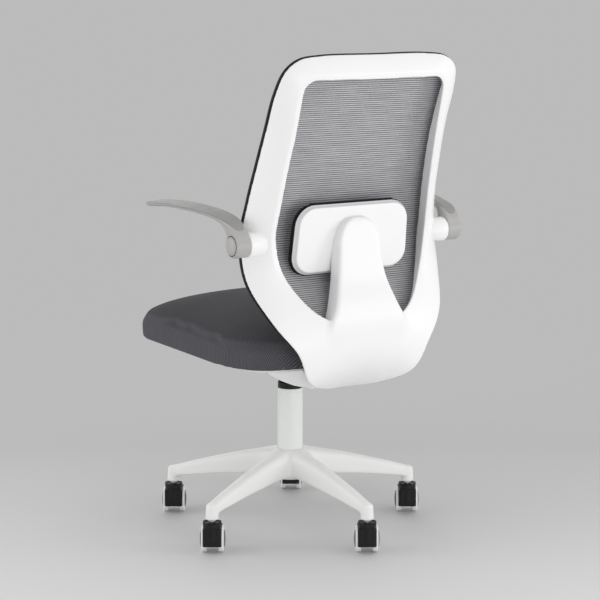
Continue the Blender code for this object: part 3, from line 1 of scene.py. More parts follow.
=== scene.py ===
# %% [markdown]
# # An office chair dressed around its solids
#
# The imported solids are the fixed frame. Hard inner pieces stay as they are and get a
# finish. The pieces that carry the chair's looks are worked out again here as finer surfaces, each in
# the place of its solid: the back frame, the base, the arms, the casters, the mesh and the cushions.

# %% Load the frame
import json
import math

import bmesh
import bpy
import numpy as np
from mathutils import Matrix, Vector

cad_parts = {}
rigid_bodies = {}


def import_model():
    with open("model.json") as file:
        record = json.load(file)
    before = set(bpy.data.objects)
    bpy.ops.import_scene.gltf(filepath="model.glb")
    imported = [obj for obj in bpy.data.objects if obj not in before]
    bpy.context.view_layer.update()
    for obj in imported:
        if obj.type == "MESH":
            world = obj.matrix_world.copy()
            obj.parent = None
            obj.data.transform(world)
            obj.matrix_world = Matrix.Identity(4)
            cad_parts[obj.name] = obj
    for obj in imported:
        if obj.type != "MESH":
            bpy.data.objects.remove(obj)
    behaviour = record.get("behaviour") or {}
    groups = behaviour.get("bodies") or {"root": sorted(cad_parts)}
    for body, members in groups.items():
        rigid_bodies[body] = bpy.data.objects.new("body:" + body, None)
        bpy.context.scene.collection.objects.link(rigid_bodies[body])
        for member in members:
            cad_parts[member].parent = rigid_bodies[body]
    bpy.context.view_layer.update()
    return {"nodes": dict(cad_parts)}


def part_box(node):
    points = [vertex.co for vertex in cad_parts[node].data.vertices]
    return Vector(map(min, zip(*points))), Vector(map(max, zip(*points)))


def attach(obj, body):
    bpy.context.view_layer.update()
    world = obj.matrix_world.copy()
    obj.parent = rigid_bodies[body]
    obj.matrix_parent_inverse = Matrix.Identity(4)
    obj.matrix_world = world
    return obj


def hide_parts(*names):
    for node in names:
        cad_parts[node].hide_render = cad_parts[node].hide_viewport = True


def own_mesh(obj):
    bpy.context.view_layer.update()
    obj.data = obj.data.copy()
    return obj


for leftover in list(bpy.data.objects):
    bpy.data.objects.remove(leftover, do_unlink=True)
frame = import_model()
nodes = frame["nodes"]
scene = bpy.context.scene

# %% [markdown]
# ## Places to measure from
#
# Every new piece is worked out in the chair's own frame, where the column is the Z axis and the floor is
# z = 0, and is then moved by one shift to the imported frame. Reading the shift and the main levels from
# the solids' boxes is safer than writing them again, because they follow if the solids change.

# %% Column axis and levels
def box_middle(node):
    """Middle of a solid's box: half the sum of its two corners."""
    low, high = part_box(node)
    return (np.array(low) + np.array(high)) / 2


COLUMN = box_middle("piston_rod") * (1, 1, 0)
PAN_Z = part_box("seat_pan")[0].z
ARM_PIVOT = (box_middle("arm_pin_left") - COLUMN) * (0, 1, 1)
print("column at", np.round(COLUMN, 4), "pan underside", round(PAN_Z, 4), "arm pivot", np.round(ARM_PIVOT, 4))

# %% [markdown]
# ## Camera
#
# The photograph was taken from behind and to the sitter's left, a little above the back's top, with a
# long lens: the upright lines hardly converge. The camera's place and lens come from fitting known
# points of the solids to the picture, so the render can be laid over it.

# %% Camera
VIEW_AZIMUTH = math.radians(149.0)
VIEW_PITCH = math.radians(9.94)
FOCAL_PIXELS, FRAME_PIXELS = 1944.0, 600.0
SENSOR_WIDTH = 36.0
CAMERA_PLACE = np.array([2.0423, 3.4394, 1.185])

lens = bpy.data.cameras.new("photo_camera")
lens.sensor_width = SENSOR_WIDTH
lens.lens = FOCAL_PIXELS * SENSOR_WIDTH / FRAME_PIXELS
camera = bpy.data.objects.new("photo_camera", lens)
camera.location = CAMERA_PLACE + COLUMN
camera.rotation_euler = (math.pi / 2 - VIEW_PITCH, 0, VIEW_AZIMUTH)
scene.collection.objects.link(camera)
scene.camera = camera
scene.view_settings.view_transform = "Standard"
print(f"lens {lens.lens:.1f} mm")

# %% [markdown]
# ## Light and floor
#
# The studio is a pale grey sweep under large soft boxes. A wall would hide the chair from other sides,
# so the floor is a wide disc that fades out into a backdrop of the same grey. Its grey is a little paler on
# the photographer's side: painted light, as more light falls there. The lamps stay at a plain level, where a
# colour renders about as it is written.

# %% Nodes made short
def shade(tree, kind, *, operation=None, **values):
    """Adds a shader node and sets its sockets by name (spaces as underscores) or number (i0, i1 and on)."""
    node = tree.nodes.new("ShaderNode" + kind)
    if operation:
        node.operation = operation
    for name, value in values.items():
        numbered = name[0] == "i" and name[1:].isdigit()
        socket = node.inputs[int(name[1:]) if numbered else name.replace("_", " ")]
        if isinstance(value, bpy.types.NodeSocket):
            tree.links.new(value, socket)
        else:
            socket.default_value = value
    return node


def math_node(tree, operation, first, second=0.0):
    """One step of arithmetic on two values."""
    return shade(tree, "Math", operation=operation, i0=first, i1=second).outputs[0]


def mapped(tree, value, low, high, to_low, to_high):
    """A value between low and high, carried over to the same place between two other numbers."""
    node = shade(tree, "MapRange", Value=value, From_Min=low, From_Max=high, To_Min=to_low, To_Max=to_high)
    return node.outputs[0]


def blank_material(name):
    """A material with an empty tree and its output node."""
    made = bpy.data.materials.new(name)
    made.use_nodes = True
    made.node_tree.nodes.clear()
    return made, made.node_tree, made.node_tree.nodes.new("ShaderNodeOutputMaterial")

# %% Backdrop and lamps
BACKDROP_GREY = 0.497
AMBIENT = 0.685
LAMP_AIM = (0.0, 0.1, 0.55)
# Soft boxes: place in the chair's frame, width in metres and power in watts
SOFT_BOXES = {
    "key_box": ((-2.4, 2.7, 1.0), 1.4, 25.0),
    "low_box": ((0.2, 3.6, 0.25), 2.0, 31.0),
    "side_box": ((3.0, -1.0, 1.2), 2.4, 31.0),
    "front_box": ((-1.4, -3.0, 1.8), 2.4, 20.0),
    "right_box": ((-3.4, 0.6, 1.6), 2.4, 6.0),
    "top_box": ((0.0, 0.0, 3.4), 2.8, 5.0),
}

world = bpy.data.worlds.new("studio")
world.use_nodes = True
scene.world = world
sky = world.node_tree
sky.nodes.clear()
rays = shade(sky, "LightPath")
seen = math_node(sky, "MAXIMUM", rays.outputs["Is Camera Ray"], rays.outputs["Is Glossy Ray"])
seen = math_node(sky, "MAXIMUM", seen, rays.outputs["Is Transmission Ray"])
lit = shade(sky, "Background", Color=(1.0, 1.0, 1.0, 1.0), Strength=AMBIENT)
shown = shade(sky, "Background", Color=(BACKDROP_GREY, BACKDROP_GREY, BACKDROP_GREY, 1.0), Strength=1.0)
either = shade(sky, "MixShader", Fac=seen, i1=lit.outputs[0], i2=shown.outputs[0])
sky.links.new(either.outputs[0], sky.nodes.new("ShaderNodeOutputWorld").inputs["Surface"])


def soft_box(name, place, size, power):
    """A square area lamp at a place in the chair's frame, turned to the middle of the chair's back."""
    light = bpy.data.lights.new(name, "AREA")
    light.size = size
    light.energy = power
    lamp = bpy.data.objects.new(name, light)
    place = np.array(place, float)
    lamp.location = place + COLUMN
    away = place - LAMP_AIM
    lean = math.atan2(math.hypot(away[0], away[1]), away[2])
    lamp.rotation_euler = (lean, 0, math.atan2(away[0], -away[1]))
    scene.collection.objects.link(lamp)


for name, (place, size, power) in SOFT_BOXES.items():
    soft_box(name, place, size, power)
print(len(SOFT_BOXES), "soft boxes")

# %% Floor
FLOOR_RADIUS, FLOOR_SIDES = 7.0, 96
FADE_FROM, FADE_TO = 0.7, 2.4
# The floor's grey runs from far to near, paler towards the photographer: painted light.
FLOOR_FAR, FLOOR_NEAR = 0.53, 0.725
PALER_FROM, PALER_TO = -0.7, 0.5

turn = np.linspace(0, 2 * math.pi, FLOOR_SIDES, endpoint=False)
disc = FLOOR_RADIUS * np.column_stack([np.cos(turn), np.sin(turn), np.zeros(FLOOR_SIDES)])
floor_mesh = bpy.data.meshes.new("studio_floor")
floor_mesh.from_pydata(disc.tolist(), [], [list(range(FLOOR_SIDES))])
floor = bpy.data.objects.new("studio_floor", floor_mesh)
scene.collection.objects.link(floor)
floor_paint, tree, output = blank_material("studio_floor")
spot = shade(tree, "TexCoord").outputs["Object"]
reach = shade(tree, "VectorMath", operation="LENGTH", i0=spot).outputs["Value"]
fade = shade(tree, "MapRange", Value=reach, From_Min=FADE_FROM, From_Max=FADE_TO)
fade.interpolation_type = "SMOOTHSTEP"
towards = (math.sin(VIEW_AZIMUTH), -math.cos(VIEW_AZIMUTH), 0.0)
nearer = shade(tree, "VectorMath", operation="DOT_PRODUCT", i0=spot, i1=towards).outputs["Value"]
grey = mapped(tree, nearer, PALER_FROM, PALER_TO, FLOOR_FAR, FLOOR_NEAR)
grey = shade(tree, "CombineColor", Red=grey, Green=grey, Blue=grey)
matt = shade(tree, "BsdfDiffuse", Color=grey.outputs[0])
clear = shade(tree, "BsdfTransparent")
blend = shade(tree, "MixShader", Fac=fade.outputs[0], i1=matt.outputs[0], i2=clear.outputs[0])
tree.links.new(blend.outputs[0], output.inputs["Surface"])
floor_mesh.materials.append(floor_paint)
print("floor", FLOOR_RADIUS, "m, fading from", FADE_FROM, "to", FADE_TO, "m")

# %% [markdown]
# ## Finishes
#
# Moulded plastic is never quite one colour: the tool's spark-eroded grain scatters its gloss, and a large
# part varies a little over its length. One function makes every moulded and metal finish from a colour,
# a roughness, a grain and a mottle, all read from Object coordinates, so nothing slides when a piece
# moves. Cloth has its own two functions further down.

# %% Moulded and metal finishes
MOTTLE_SCALE, GLOSS_SCALE, GLOSS_SPREAD = 9.0, 60.0, 0.06
NOISE_LOW, NOISE_HIGH = 0.3, 0.7


def noise(tree, spot, scale, detail):
    """Smooth noise between 0 and 1, with about this many waves to a unit of its coordinates."""
    return shade(tree, "TexNoise", Vector=spot, Scale=scale, Detail=detail).outputs["Fac"]


def mixed(tree, share, low, high):
    """Colour between two: the low one where the share is 0, the high one where it is 1."""
    node = shade(tree, "Mix", i0=share, i6=(*low, 1.0), i7=(*high, 1.0))
    node.data_type = "RGBA"
    return node.outputs[2]


def moulded(name, colour, rough, grain, grain_size, mottle, metallic=0.0, gloss=0.5):
    """A plain finish: colour varied by a broad noise, roughness by a middle one, bump by a fine one."""
    made, tree, output = blank_material(name)
    spot = shade(tree, "TexCoord").outputs["Object"]
    broad = noise(tree, spot, MOTTLE_SCALE, 3.0)
    middle = noise(tree, spot, GLOSS_SCALE, 4.0)
    fine = noise(tree, spot, 0.5 / grain_size, 2.0)
    dark = tuple(channel * (1 - mottle) for channel in colour)
    light = tuple(min(1.0, channel * (1 + mottle)) for channel in colour)
    tint = mixed(tree, broad, dark, light)
    spread = mapped(tree, middle, NOISE_LOW, NOISE_HIGH, rough - GLOSS_SPREAD, rough + GLOSS_SPREAD)
    bump = shade(tree, "Bump", Height=fine, Strength=grain, Distance=grain_size * 0.25)
    skin = shade(tree, "BsdfPrincipled", Base_Color=tint, Roughness=spread, Normal=bump.outputs[0],
                 Metallic=metallic, Specular_IOR_Level=gloss)
    tree.links.new(skin.outputs[0], output.inputs["Surface"])
    return made


# Each finish: name, colour, roughness, strength and size of its grain, mottle
WHITE = moulded("white_moulding", (0.883, 0.883, 0.881), 0.40, 0.20, 0.0007, 0.012)
BASE_WHITE = moulded("base_moulding", (0.845, 0.845, 0.833), 0.46, 0.45, 0.0010, 0.02)
SLEEVE_WHITE = moulded("column_cover", (0.785, 0.81, 0.785), 0.42, 0.12, 0.0006, 0.015)
BLACK = moulded("black_moulding", (0.006, 0.007, 0.006), 0.42, 0.5, 0.0009, 0.10, gloss=0.3)
ARM_GREY = moulded("arm_moulding", (0.415, 0.41, 0.40), 0.45, 0.30, 0.0008, 0.02)
PAD_GREY = moulded("arm_top", (0.305, 0.305, 0.297), 0.55, 0.6, 0.0012, 0.03, gloss=0.4)
TREAD_WHITE = moulded("wheel_tread", (0.88, 0.88, 0.865), 0.5, 0.3, 0.0008, 0.03)
CAP_GREY = moulded("wheel_cap", (0.13, 0.13, 0.128), 0.4, 0.35, 0.0008, 0.05)
STEEL = moulded("bright_steel", (0.56, 0.56, 0.57), 0.30, 0.15, 0.0005, 0.04, metallic=1.0)
DARK_STEEL = moulded("black_coat", (0.022, 0.022, 0.024), 0.46, 0.55, 0.0010, 0.12)
GROOVE = moulded("seam_shadow", (0.03, 0.03, 0.03), 0.7, 0.3, 0.0008, 0.05, gloss=0.2)
SEAM_GREY = moulded("pad_seam", (0.19, 0.19, 0.185), 0.7, 0.3, 0.0008, 0.05, gloss=0.2)
print(len(bpy.data.materials), "finishes so far")

# %% [markdown]
# ## Surfaces from grids
#
# Every new shape is a grid of points: one parameter runs along a path, the other round a profile. A smooth
# path goes through a few chosen points, and the grid's cells become the faces.

# %% Paths
def smooth_path(points, steps, closed=False):
    """Points on a curve through the given ones, this many steps to a span.

    Each span is a cubic; its end slopes are the weighted slopes of the spans that meet there.
    """
    points = np.asarray(points, float)
    count = len(points)
    if closed:
        points = np.vstack([points[-1], points, points[:2]])
    else:
        points = np.vstack([2 * points[0] - points[1], points, 2 * points[-1] - points[-2]])
    span = np.sqrt(np.linalg.norm(np.diff(points, axis=0), axis=1))[:, None]
    slope = np.diff(points, axis=0) / span
    tangent = (slope[:-1] * span[1:] + slope[1:] * span[:-1]) / (span[:-1] + span[1:])
    spans = count if closed else count - 1
    share = (np.arange(steps) / steps)[None, :, None]
    start, end = points[1: spans + 1, None], points[2: spans + 2, None]
    leave = (tangent[:spans] * span[1: spans + 1])[:, None]
    arrive = (tangent[1: spans + 1] * span[1: spans + 1])[:, None]
    curve = (start * (2 * share**3 - 3 * share**2 + 1) + leave * (share**3 - 2 * share**2 + share)
             + end * (3 * share**2 - 2 * share**3) + arrive * (share**3 - share**2))
    curve = curve.reshape(-1, points.shape[1])
    return curve if closed else np.vstack([curve, points[-2]])

# %% Grids
def faced_outwards(mesh):
    """Merges doubled points and turns all faces outwards."""
    work = bmesh.new()
    work.from_mesh(mesh)
    bmesh.ops.remove_doubles(work, verts=work.verts, dist=1e-6)
    bmesh.ops.recalc_face_normals(work, faces=work.faces)
    work.to_mesh(mesh)
    work.free()
    return mesh


def grid_mesh(name, points, round_u=False, round_v=False, capped=False):
    """Mesh over a grid of points (along u, round v): each cell is a face, and capped closes both ends."""
    along, around = points.shape[:2]
    row = np.arange(along if round_u else along - 1)[:, None]
    side = np.arange(around if round_v else around - 1)[None]
    here, there = row * around, (row + 1) % along * around
    after = (side + 1) % around
    cells = np.stack([here + side, here + after, there + after, there + side], axis=-1)
    faces = cells.reshape(-1, 4).tolist()
    if capped:
        faces.append(list(range(around))[::-1])
        faces.append(list(range((along - 1) * around, along * around)))
    mesh = bpy.data.meshes.new(name)
    mesh.from_pydata(points.reshape(-1, 3).tolist(), [], faces)
    return faced_outwards(mesh)

# %% Points of a mesh
def mesh_points(mesh):
    """All points of a mesh as an array."""
    flat = np.empty(len(mesh.vertices) * 3)
    mesh.vertices.foreach_get("co", flat)
    return flat.reshape(-1, 3)


def with_points(mesh, points):
    """The same mesh with its points moved to these places."""
    mesh.vertices.foreach_set("co", points.ravel())
    mesh.update()
    return mesh


def placed(mesh, shift):
    """The same mesh, moved by a shift."""
    return with_points(mesh, mesh_points(mesh) + shift)

# %% [markdown]
# ## Moulded shapes that run into each other
#
# A real moulding has no seam where a post grows out of a shell: the tool's corners are rounded. Closed
# shapes that overlap are laid on a fine voxel grid, whose outer skin is one surface. Moving each point
# to and fro towards the mean of its neighbours then smooths the steps of the grid without shrinking it.
# Where a skin has more cells than it needs, its flattest ones are merged.

# %% One skin from several shapes
def evaluated(item):
    """The object's mesh with its modifiers applied; the object is removed."""
    bpy.context.view_layer.update()
    graph = bpy.context.evaluated_depsgraph_get()
    made = bpy.data.meshes.new_from_object(item.evaluated_get(graph))
    bpy.data.objects.remove(item, do_unlink=True)
    return made


def joined(name, meshes):
    """One object that holds several meshes."""
    work = bmesh.new()
    for mesh in meshes:
        work.from_mesh(mesh)
    whole = bpy.data.meshes.new(name)
    work.to_mesh(whole)
    work.free()
    item = bpy.data.objects.new(name, whole)
    scene.collection.objects.link(item)
    return item


def relax(mesh, rounds, weight=None, shrink=False):
    """Each round moves points half way to their neighbours' mean, then (unless shrink) back a little more."""
    points = mesh_points(mesh)
    ends = np.empty(len(mesh.edges) * 2, int)
    mesh.edges.foreach_get("vertices", ends)
    one, two = ends.reshape(-1, 2).T
    count = np.bincount(ends, minlength=len(points))[:, None]
    weight = 1.0 if weight is None else weight[:, None]
    for number in range(rounds if shrink else 2 * rounds):
        total = np.stack([np.bincount(one, points[two, axis], len(points))
                          + np.bincount(two, points[one, axis], len(points)) for axis in range(3)], axis=1)
        share = 0.5 if shrink or number % 2 == 0 else -0.53
        points = points + weight * share * (total / count - points)
    return with_points(mesh, points)


def one_skin(name, meshes, voxel, rounds):
    """The outer skin of overlapping closed meshes, on voxels of this size, smoothed this many rounds."""
    item = joined(name, meshes)
    melt = item.modifiers.new("melt", "REMESH")
    melt.mode = "VOXEL"
    melt.voxel_size = voxel
    return relax(evaluated(item), rounds)

# %% A finished piece
def piece(name, mesh, body, finish, replaces=None, sharp=None):
    """Links a finished mesh as one piece of the chair: its material, its body, its solid."""
    mesh.name = name
    made = bpy.data.objects.new(name, mesh)
    scene.collection.objects.link(made)
    for one in finish if isinstance(finish, list) else [finish]:
        mesh.materials.append(one)
    mesh.shade_smooth()
    if sharp:
        mesh.set_sharp_from_angle(angle=math.radians(sharp))
    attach(made, body)
    if replaces:
        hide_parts(replaces)
    print(f"{name}: {len(mesh.vertices)} points, {len(mesh.polygons)} faces, on {body}")
    return made

# %% [markdown]
# ## Back frame
#
# One big white moulding carries the whole back: a shell-like ring with a deep bowl at the heel, a post for
# the lumbar plate, two bosses for the arms and a fork that reaches under the seat. It could be sculpted,
# but the ring is easier to steer as a strip between two closed outlines, the front outer rim and the edge
# of the opening. At the bowl the section between them is one bowed curve. Up the sides it is a flatter
# face that turns at a soft crease into a narrow band along the opening. The other forms are lofts and
# turned noses. One skin on fine voxels joins them all.

# %% Outlines of the ring
# Half outlines from the top centre round to the heel: half width, depth and height above the pan
BACK_RIM = (
    (0.0, 0.316, 0.629), (0.120, 0.315, 0.6285), (0.167, 0.314, 0.6215), (0.192, 0.308, 0.601),
    (0.2030, 0.288, 0.557), (0.2050, 0.2575, 0.490), (0.2095, 0.2310, 0.422), (0.2155, 0.2045, 0.347),
    (0.2245, 0.192, 0.272), (0.223, 0.2115, 0.192), (0.192, 0.265, 0.111), (0.152, 0.287, 0.055),
    (0.122, 0.275, -0.003), (0.065, 0.238, -0.030), (0.0, 0.220, -0.035),
)
BACK_EDGE = (
    (0.0, 0.334, 0.583), (0.110, 0.333, 0.5835), (0.142, 0.330, 0.582), (0.1555, 0.3245, 0.5705),
    (0.159, 0.3165, 0.545), (0.1605, 0.298, 0.484), (0.1645, 0.278, 0.422), (0.169, 0.257, 0.347),
    (0.1725, 0.2405, 0.272), (0.158, 0.247, 0.204), (0.115, 0.280, 0.139), (0.080, 0.2965, 0.116),
    (0.050, 0.303, 0.106), (0.024, 0.306, 0.102), (0.0, 0.307, 0.1015),
)
SPAN_STEPS = 8


def back_loop(half):
    """Closed smooth loop through a half outline and its mirror image, in the chair's frame."""
    half = np.array(half) + (0, 0, PAN_Z)
    return smooth_path(np.vstack([half, half[-2:0:-1] * (-1, 1, 1)]), SPAN_STEPS, closed=True)


rim, edge = back_loop(BACK_RIM), back_loop(BACK_EDGE)
print("outlines of", len(rim), "points")

# %% Section of the ring
SECTION_STEPS = 16
FRAME_WALL, FRAME_LIP = 0.0040, 0.0040
BOWL_BULGE, BOWL_CROWN = 0.38, 0.0050
FACE_BULGE, FACE_RISE = 0.40, 0.66
BAND_WIDTH, BAND_DROP, BAND_STEPS = 0.0110, 0.0020, 4
BAND_FROM, BAND_FULL = 0.12, 0.24
RETURN_SHARE, RETURN_LEAST, RETURN_MOST, RETURN_DRAFT, RETURN_STEPS = 0.70, 0.010, 0.031, 0.004, 6


def smoothstep(low, high, value):
    """0 at low, 1 at high, and a smooth rise between; low may be the larger number."""
    share = np.clip((value - low) / (high - low), 0, 1)
    return share * share * (3 - 2 * share)


def unit(rows):
    """Each row of an array divided by its length."""
    return rows / np.linalg.norm(rows, axis=1)[:, None]


def bowed(start, control, end, steps):
    """Quadratic curves between rows of points: (1-s)^2 of start, 2s(1-s) of control, s^2 of end."""
    share = np.linspace(0, 1, steps + 1)[None, :, None]
    start, control, end = start[:, None], control[:, None], end[:, None]
    return start * (1 - share) ** 2 + control * 2 * share * (1 - share) + end * share**2


def straight(start, end, steps):
    """Straight lines between rows of points, as curves that aim at their own middle."""
    return bowed(start, (start + end) / 2, end, steps)


lip = rim + (0, FRAME_LIP, 0)
outward = unit((rim - edge) * (1, 0, 1))
crest = lip + (edge - lip) * (BOWL_BULGE, 0, BOWL_BULGE)
crest[:, 1] = np.maximum(edge[:, 1], lip[:, 1] + BOWL_CROWN)
bowl_strip = bowed(lip, crest, edge, SECTION_STEPS)

crease = edge + outward * BAND_WIDTH
swell = lip + (crease - lip) * (FACE_BULGE, FACE_RISE, FACE_BULGE)
face = bowed(lip, swell, crease, SECTION_STEPS - BAND_STEPS)
band = straight(crease, edge - (0, BAND_DROP, 0), BAND_STEPS)
side_strip = np.concatenate([face, band[:, 1:]], axis=1)
share = smoothstep(BAND_FROM, BAND_FULL, edge[:, 2] - PAN_Z)[:, None, None]
strip = bowl_strip * (1 - share) + side_strip * share

opening = strip[:, -1]
inner = opening + outward * RETURN_DRAFT
inner[:, 1] -= np.clip(RETURN_SHARE * (opening - rim)[:, 1], RETURN_LEAST, RETURN_MOST)
turned_in = straight(opening, inner, RETURN_STEPS)[:, 1:]
ring_grid = np.concatenate([rim[:, None], strip, turned_in], axis=1)
ring = joined("frame_ring", [grid_mesh("frame_ring", ring_grid, round_u=True)])
wall = ring.modifiers.new("wall", "SOLIDIFY")
wall.thickness = FRAME_WALL
wall.offset = -1
wall.use_even_offset = True
frame_shapes = [evaluated(ring)]
print("ring grid", ring_grid.shape, "wall", FRAME_WALL)

# %% Lumbar post
# Half width, front depth, back depth and height above the pan
LUMBAR_POST = (
    (0.076, 0.2740, 0.2840, 0.030), (0.086, 0.2850, 0.2995, 0.066), (0.088, 0.2740, 0.3075, 0.102),
    (0.071, 0.2580, 0.3010, 0.142), (0.0555, 0.2440, 0.2830, 0.192), (0.048, 0.2363, 0.2740, 0.242),
    (0.0455, 0.2363, 0.2710, 0.268), (0.0390, 0.2363, 0.2690, 0.289), (0.0285, 0.2363, 0.2665, 0.303),
    (0.0140, 0.2363, 0.2630, 0.311),
)
POST_ROUND = 0.35


def rounded_rectangle(half_x, half_y, radius, steps=5):
    """Outlines of (x, y) points, counter-clockwise: each corner's centre plus a quarter circle.

    The sizes are numbers for one outline, or arrays with one entry to an outline.
    """
    angle = np.radians(np.arange(4)[:, None] * 90 + np.linspace(0, 90, steps + 1)[None]).ravel()
    right, up = np.repeat([1, -1, -1, 1], steps + 1), np.repeat([1, 1, -1, -1], steps + 1)
    half_x, half_y, radius = (np.asarray(size, float)[..., None] for size in (half_x, half_y, radius))
    return np.stack([right * (half_x - radius) + radius * np.cos(angle),
                     up * (half_y - radius) + radius * np.sin(angle)], axis=-1)


def loft(name, points):
    """Closed mesh over a grid of rings, one after the other, with a face over each end."""
    return grid_mesh(name, points, round_v=True, capped=True)


half, front, back, height = smooth_path(LUMBAR_POST, 6).T
deep = (back - front) / 2
section = rounded_rectangle(half, deep, POST_ROUND * deep)
post = np.stack([section[..., 0], (front + back)[:, None] / 2 + section[..., 1],
                 np.broadcast_to(PAN_Z + height[:, None], section.shape[:2])], axis=2)
frame_shapes.append(loft("post", post))
print("post of", len(post), "sections")

# %% Fork under the seat
# Depth and distance below the pan's underside
FORK_OUTLINE = (
    (0.030, 0.0310), (0.100, 0.0375), (0.160, 0.0375), (0.205, 0.0325), (0.222, 0.0320), (0.236, 0.0250),
    (0.254, 0.0110),
)
FORK_HALF, FORK_SLOT_HALF, PAN_CLEARANCE = 0.084, 0.048, 0.0003
FORK_FLOOR_HALF, FORK_FLOOR_FRONT, FORK_FLOOR = 0.98 * FORK_HALF, 0.075, 0.005


def bar(low_x, high_x, line, top):
    """Straight-sided bar between two x, from a line of (depth, height) up to one height or a row of them."""
    x = np.broadcast_to([low_x, high_x, high_x, low_x], (len(line), 4))
    top = np.broadcast_to(top, len(line))
    z = np.column_stack([line[:, 1], line[:, 1], top, top])
    return loft("bar", np.stack([x, np.broadcast_to(line[:, :1], (len(line), 4)), z], axis=2))


cheek_line = smooth_path(np.array(FORK_OUTLINE) * (1, -1) + (0, PAN_Z), 5)
floor_line = cheek_line[cheek_line[:, 0] >= FORK_FLOOR_FRONT]
frame_shapes.append(bar(FORK_SLOT_HALF, FORK_HALF, cheek_line, PAN_Z - PAN_CLEARANCE))
frame_shapes.append(bar(-FORK_HALF, -FORK_SLOT_HALF, cheek_line, PAN_Z - PAN_CLEARANCE))
frame_shapes.append(bar(-FORK_FLOOR_HALF, FORK_FLOOR_HALF, floor_line, floor_line[:, 1] + FORK_FLOOR))
print("fork of", len(cheek_line), "sections")

# %% Arm bosses
BOSS_RADIUS, BOSS_OUTER, BOSS_TIP, BOSS_NOSE = 0.0245, 0.2300, 0.182, 0.044


def turned(name, profile, sides=64, axis="Z"):
    """Surface of revolution: a profile of (radius, height) points carried round an axis, Z or X."""
    radius, height = np.asarray(profile, float).T
    angle = np.linspace(0, 2 * math.pi, sides, endpoint=False)[:, None]
    points = np.stack([radius * np.cos(angle), radius * np.sin(angle),
                       np.broadcast_to(height, (sides, len(height)))], axis=2)
    if axis == "X":
        points = points[..., [2, 0, 1]]
    return grid_mesh(name, points, round_u=True)


def mirrored(mesh, side, shift):
    """The same mesh with x times the side (1 or -1), then moved by a shift; its faces stay outwards."""
    with_points(mesh, mesh_points(mesh) * (side, 1, 1) + shift)
    if side < 0:
        mesh.flip_normals()
        mesh.update()
    return mesh


bend = np.linspace(0, math.pi / 2, 14)
nose = [(0, BOSS_OUTER), (BOSS_RADIUS, BOSS_OUTER)]
nose += zip(BOSS_RADIUS * np.cos(bend), BOSS_TIP + BOSS_NOSE * (1 - np.sin(bend)))
for side in (1, -1):
    frame_shapes.append(mirrored(turned("boss", nose, 48, "X"), side, ARM_PIVOT))
print(len(frame_shapes), "shapes for the frame")

# %% Skin of the back frame
FRAME_VOXEL, FRAME_ROUNDS, FRAME_FACES = 0.0018, 5, 190000
# The post's foot is smoothed further: soft limits across, in depth, and from below and above over the pan
FOOT_ACROSS, FOOT_DEPTH, FOOT_LOW, FOOT_HIGH = (0.125, 0.085), (0.262, 0.275), (0.0, 0.030), (0.122, 0.092)
FOOT_ROUNDS = 160


def thinned(name, mesh, most):
    """The mesh with its flattest cells merged until no more than this many triangles are left."""
    item = joined(name, [mesh])
    triangles = sum(len(face.vertices) - 2 for face in mesh.polygons)
    fewer = item.modifiers.new("fewer", "DECIMATE")
    fewer.ratio = min(1.0, most / triangles)
    return evaluated(item)


skin = one_skin("back_frame_skin", frame_shapes, FRAME_VOXEL, FRAME_ROUNDS)
place = mesh_points(skin)
above = place[:, 2] - PAN_Z
near_foot = (smoothstep(*FOOT_ACROSS, np.abs(place[:, 0])) * smoothstep(*FOOT_DEPTH, place[:, 1])
             * smoothstep(*FOOT_LOW, above) * smoothstep(*FOOT_HIGH, above))
relax(skin, FOOT_ROUNDS, near_foot, shrink=True)
skin = thinned("back_frame_skin", skin, FRAME_FACES)
piece("back_moulding", placed(skin, COLUMN), "tilt", WHITE, "back_frame")

# %% [markdown]
# ## Base star
#
# The base is one moulding too: five arched legs run into a hub, with soft webs between them, and each leg
# turns down into a socket for a caster stem. A leg is a rounded section carried along a line that falls
# slowly at first and then faster. One skin joins legs, sockets and hub, and the region near the hub is
# smoothed further, which fills the corners between the legs like a tool's fillet.

# %% Legs, sockets and hub
LEG_COUNT, FIRST_LEG, CASTER_CIRCLE = 5, math.radians(23.0), 0.266
LEG_RISE, LEG_CROWN, LEG_DRAFT = 0.0659, 1.25, 0.08
LEG_TOP_POWER, LEG_FOOT_POWER = 0.62, 0.26
HUB_RADIUS, HUB_HEIGHT, HUB_BORE, HUB_ROUND_IN, HUB_ROUND_DOWN = 0.036, 0.063, 0.0253, 0.0035, 0.005
SOCKET_RADIUS, SOCKET_FLARE, SOCKET_HEIGHT, SOCKET_ROUND = 0.0125, 0.0010, 0.0335, 0.007
# Leg sections: distance from the column axis, half width and height
LEG_SECTIONS = (
    (0.0285, 0.0310, 0.0570), (0.042, 0.0285, 0.0560), (0.056, 0.0245, 0.0545), (0.078, 0.0215, 0.0512),
    (0.110, 0.0195, 0.0460), (0.150, 0.0178, 0.0394), (0.200, 0.0158, 0.0318), (0.240, 0.0140, 0.0266),
    (CASTER_CIRCLE, 0.0124, 0.0245),
)
SOCKET_LOW, HUB_TOP = (corner.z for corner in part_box("base_star"))
LEG_ROOT = HUB_TOP + LEG_RISE * (HUB_RADIUS / CASTER_CIRCLE) ** LEG_CROWN


def powered(value, power):
    """A value raised to a power, keeping its sign."""
    return np.sign(value) * np.abs(value) ** power


reach, half, tall = (column[:, None] for column in smooth_path(LEG_SECTIONS, 6).T)
angle = np.linspace(0, 2 * math.pi, 72, endpoint=False)[None]
power = np.where(np.sin(angle) > 0, LEG_TOP_POWER, LEG_FOOT_POWER)
rise = powered(np.sin(angle), power)
across = powered(np.cos(angle), power) * half * (1 - LEG_DRAFT * (rise + 1))
top_line = LEG_ROOT - LEG_RISE * (reach / CASTER_CIRCLE) ** LEG_CROWN
height = top_line - tall / 2 + rise * tall / 2
leg_grid = np.stack([np.broadcast_to(reach, across.shape), across, height], axis=2)

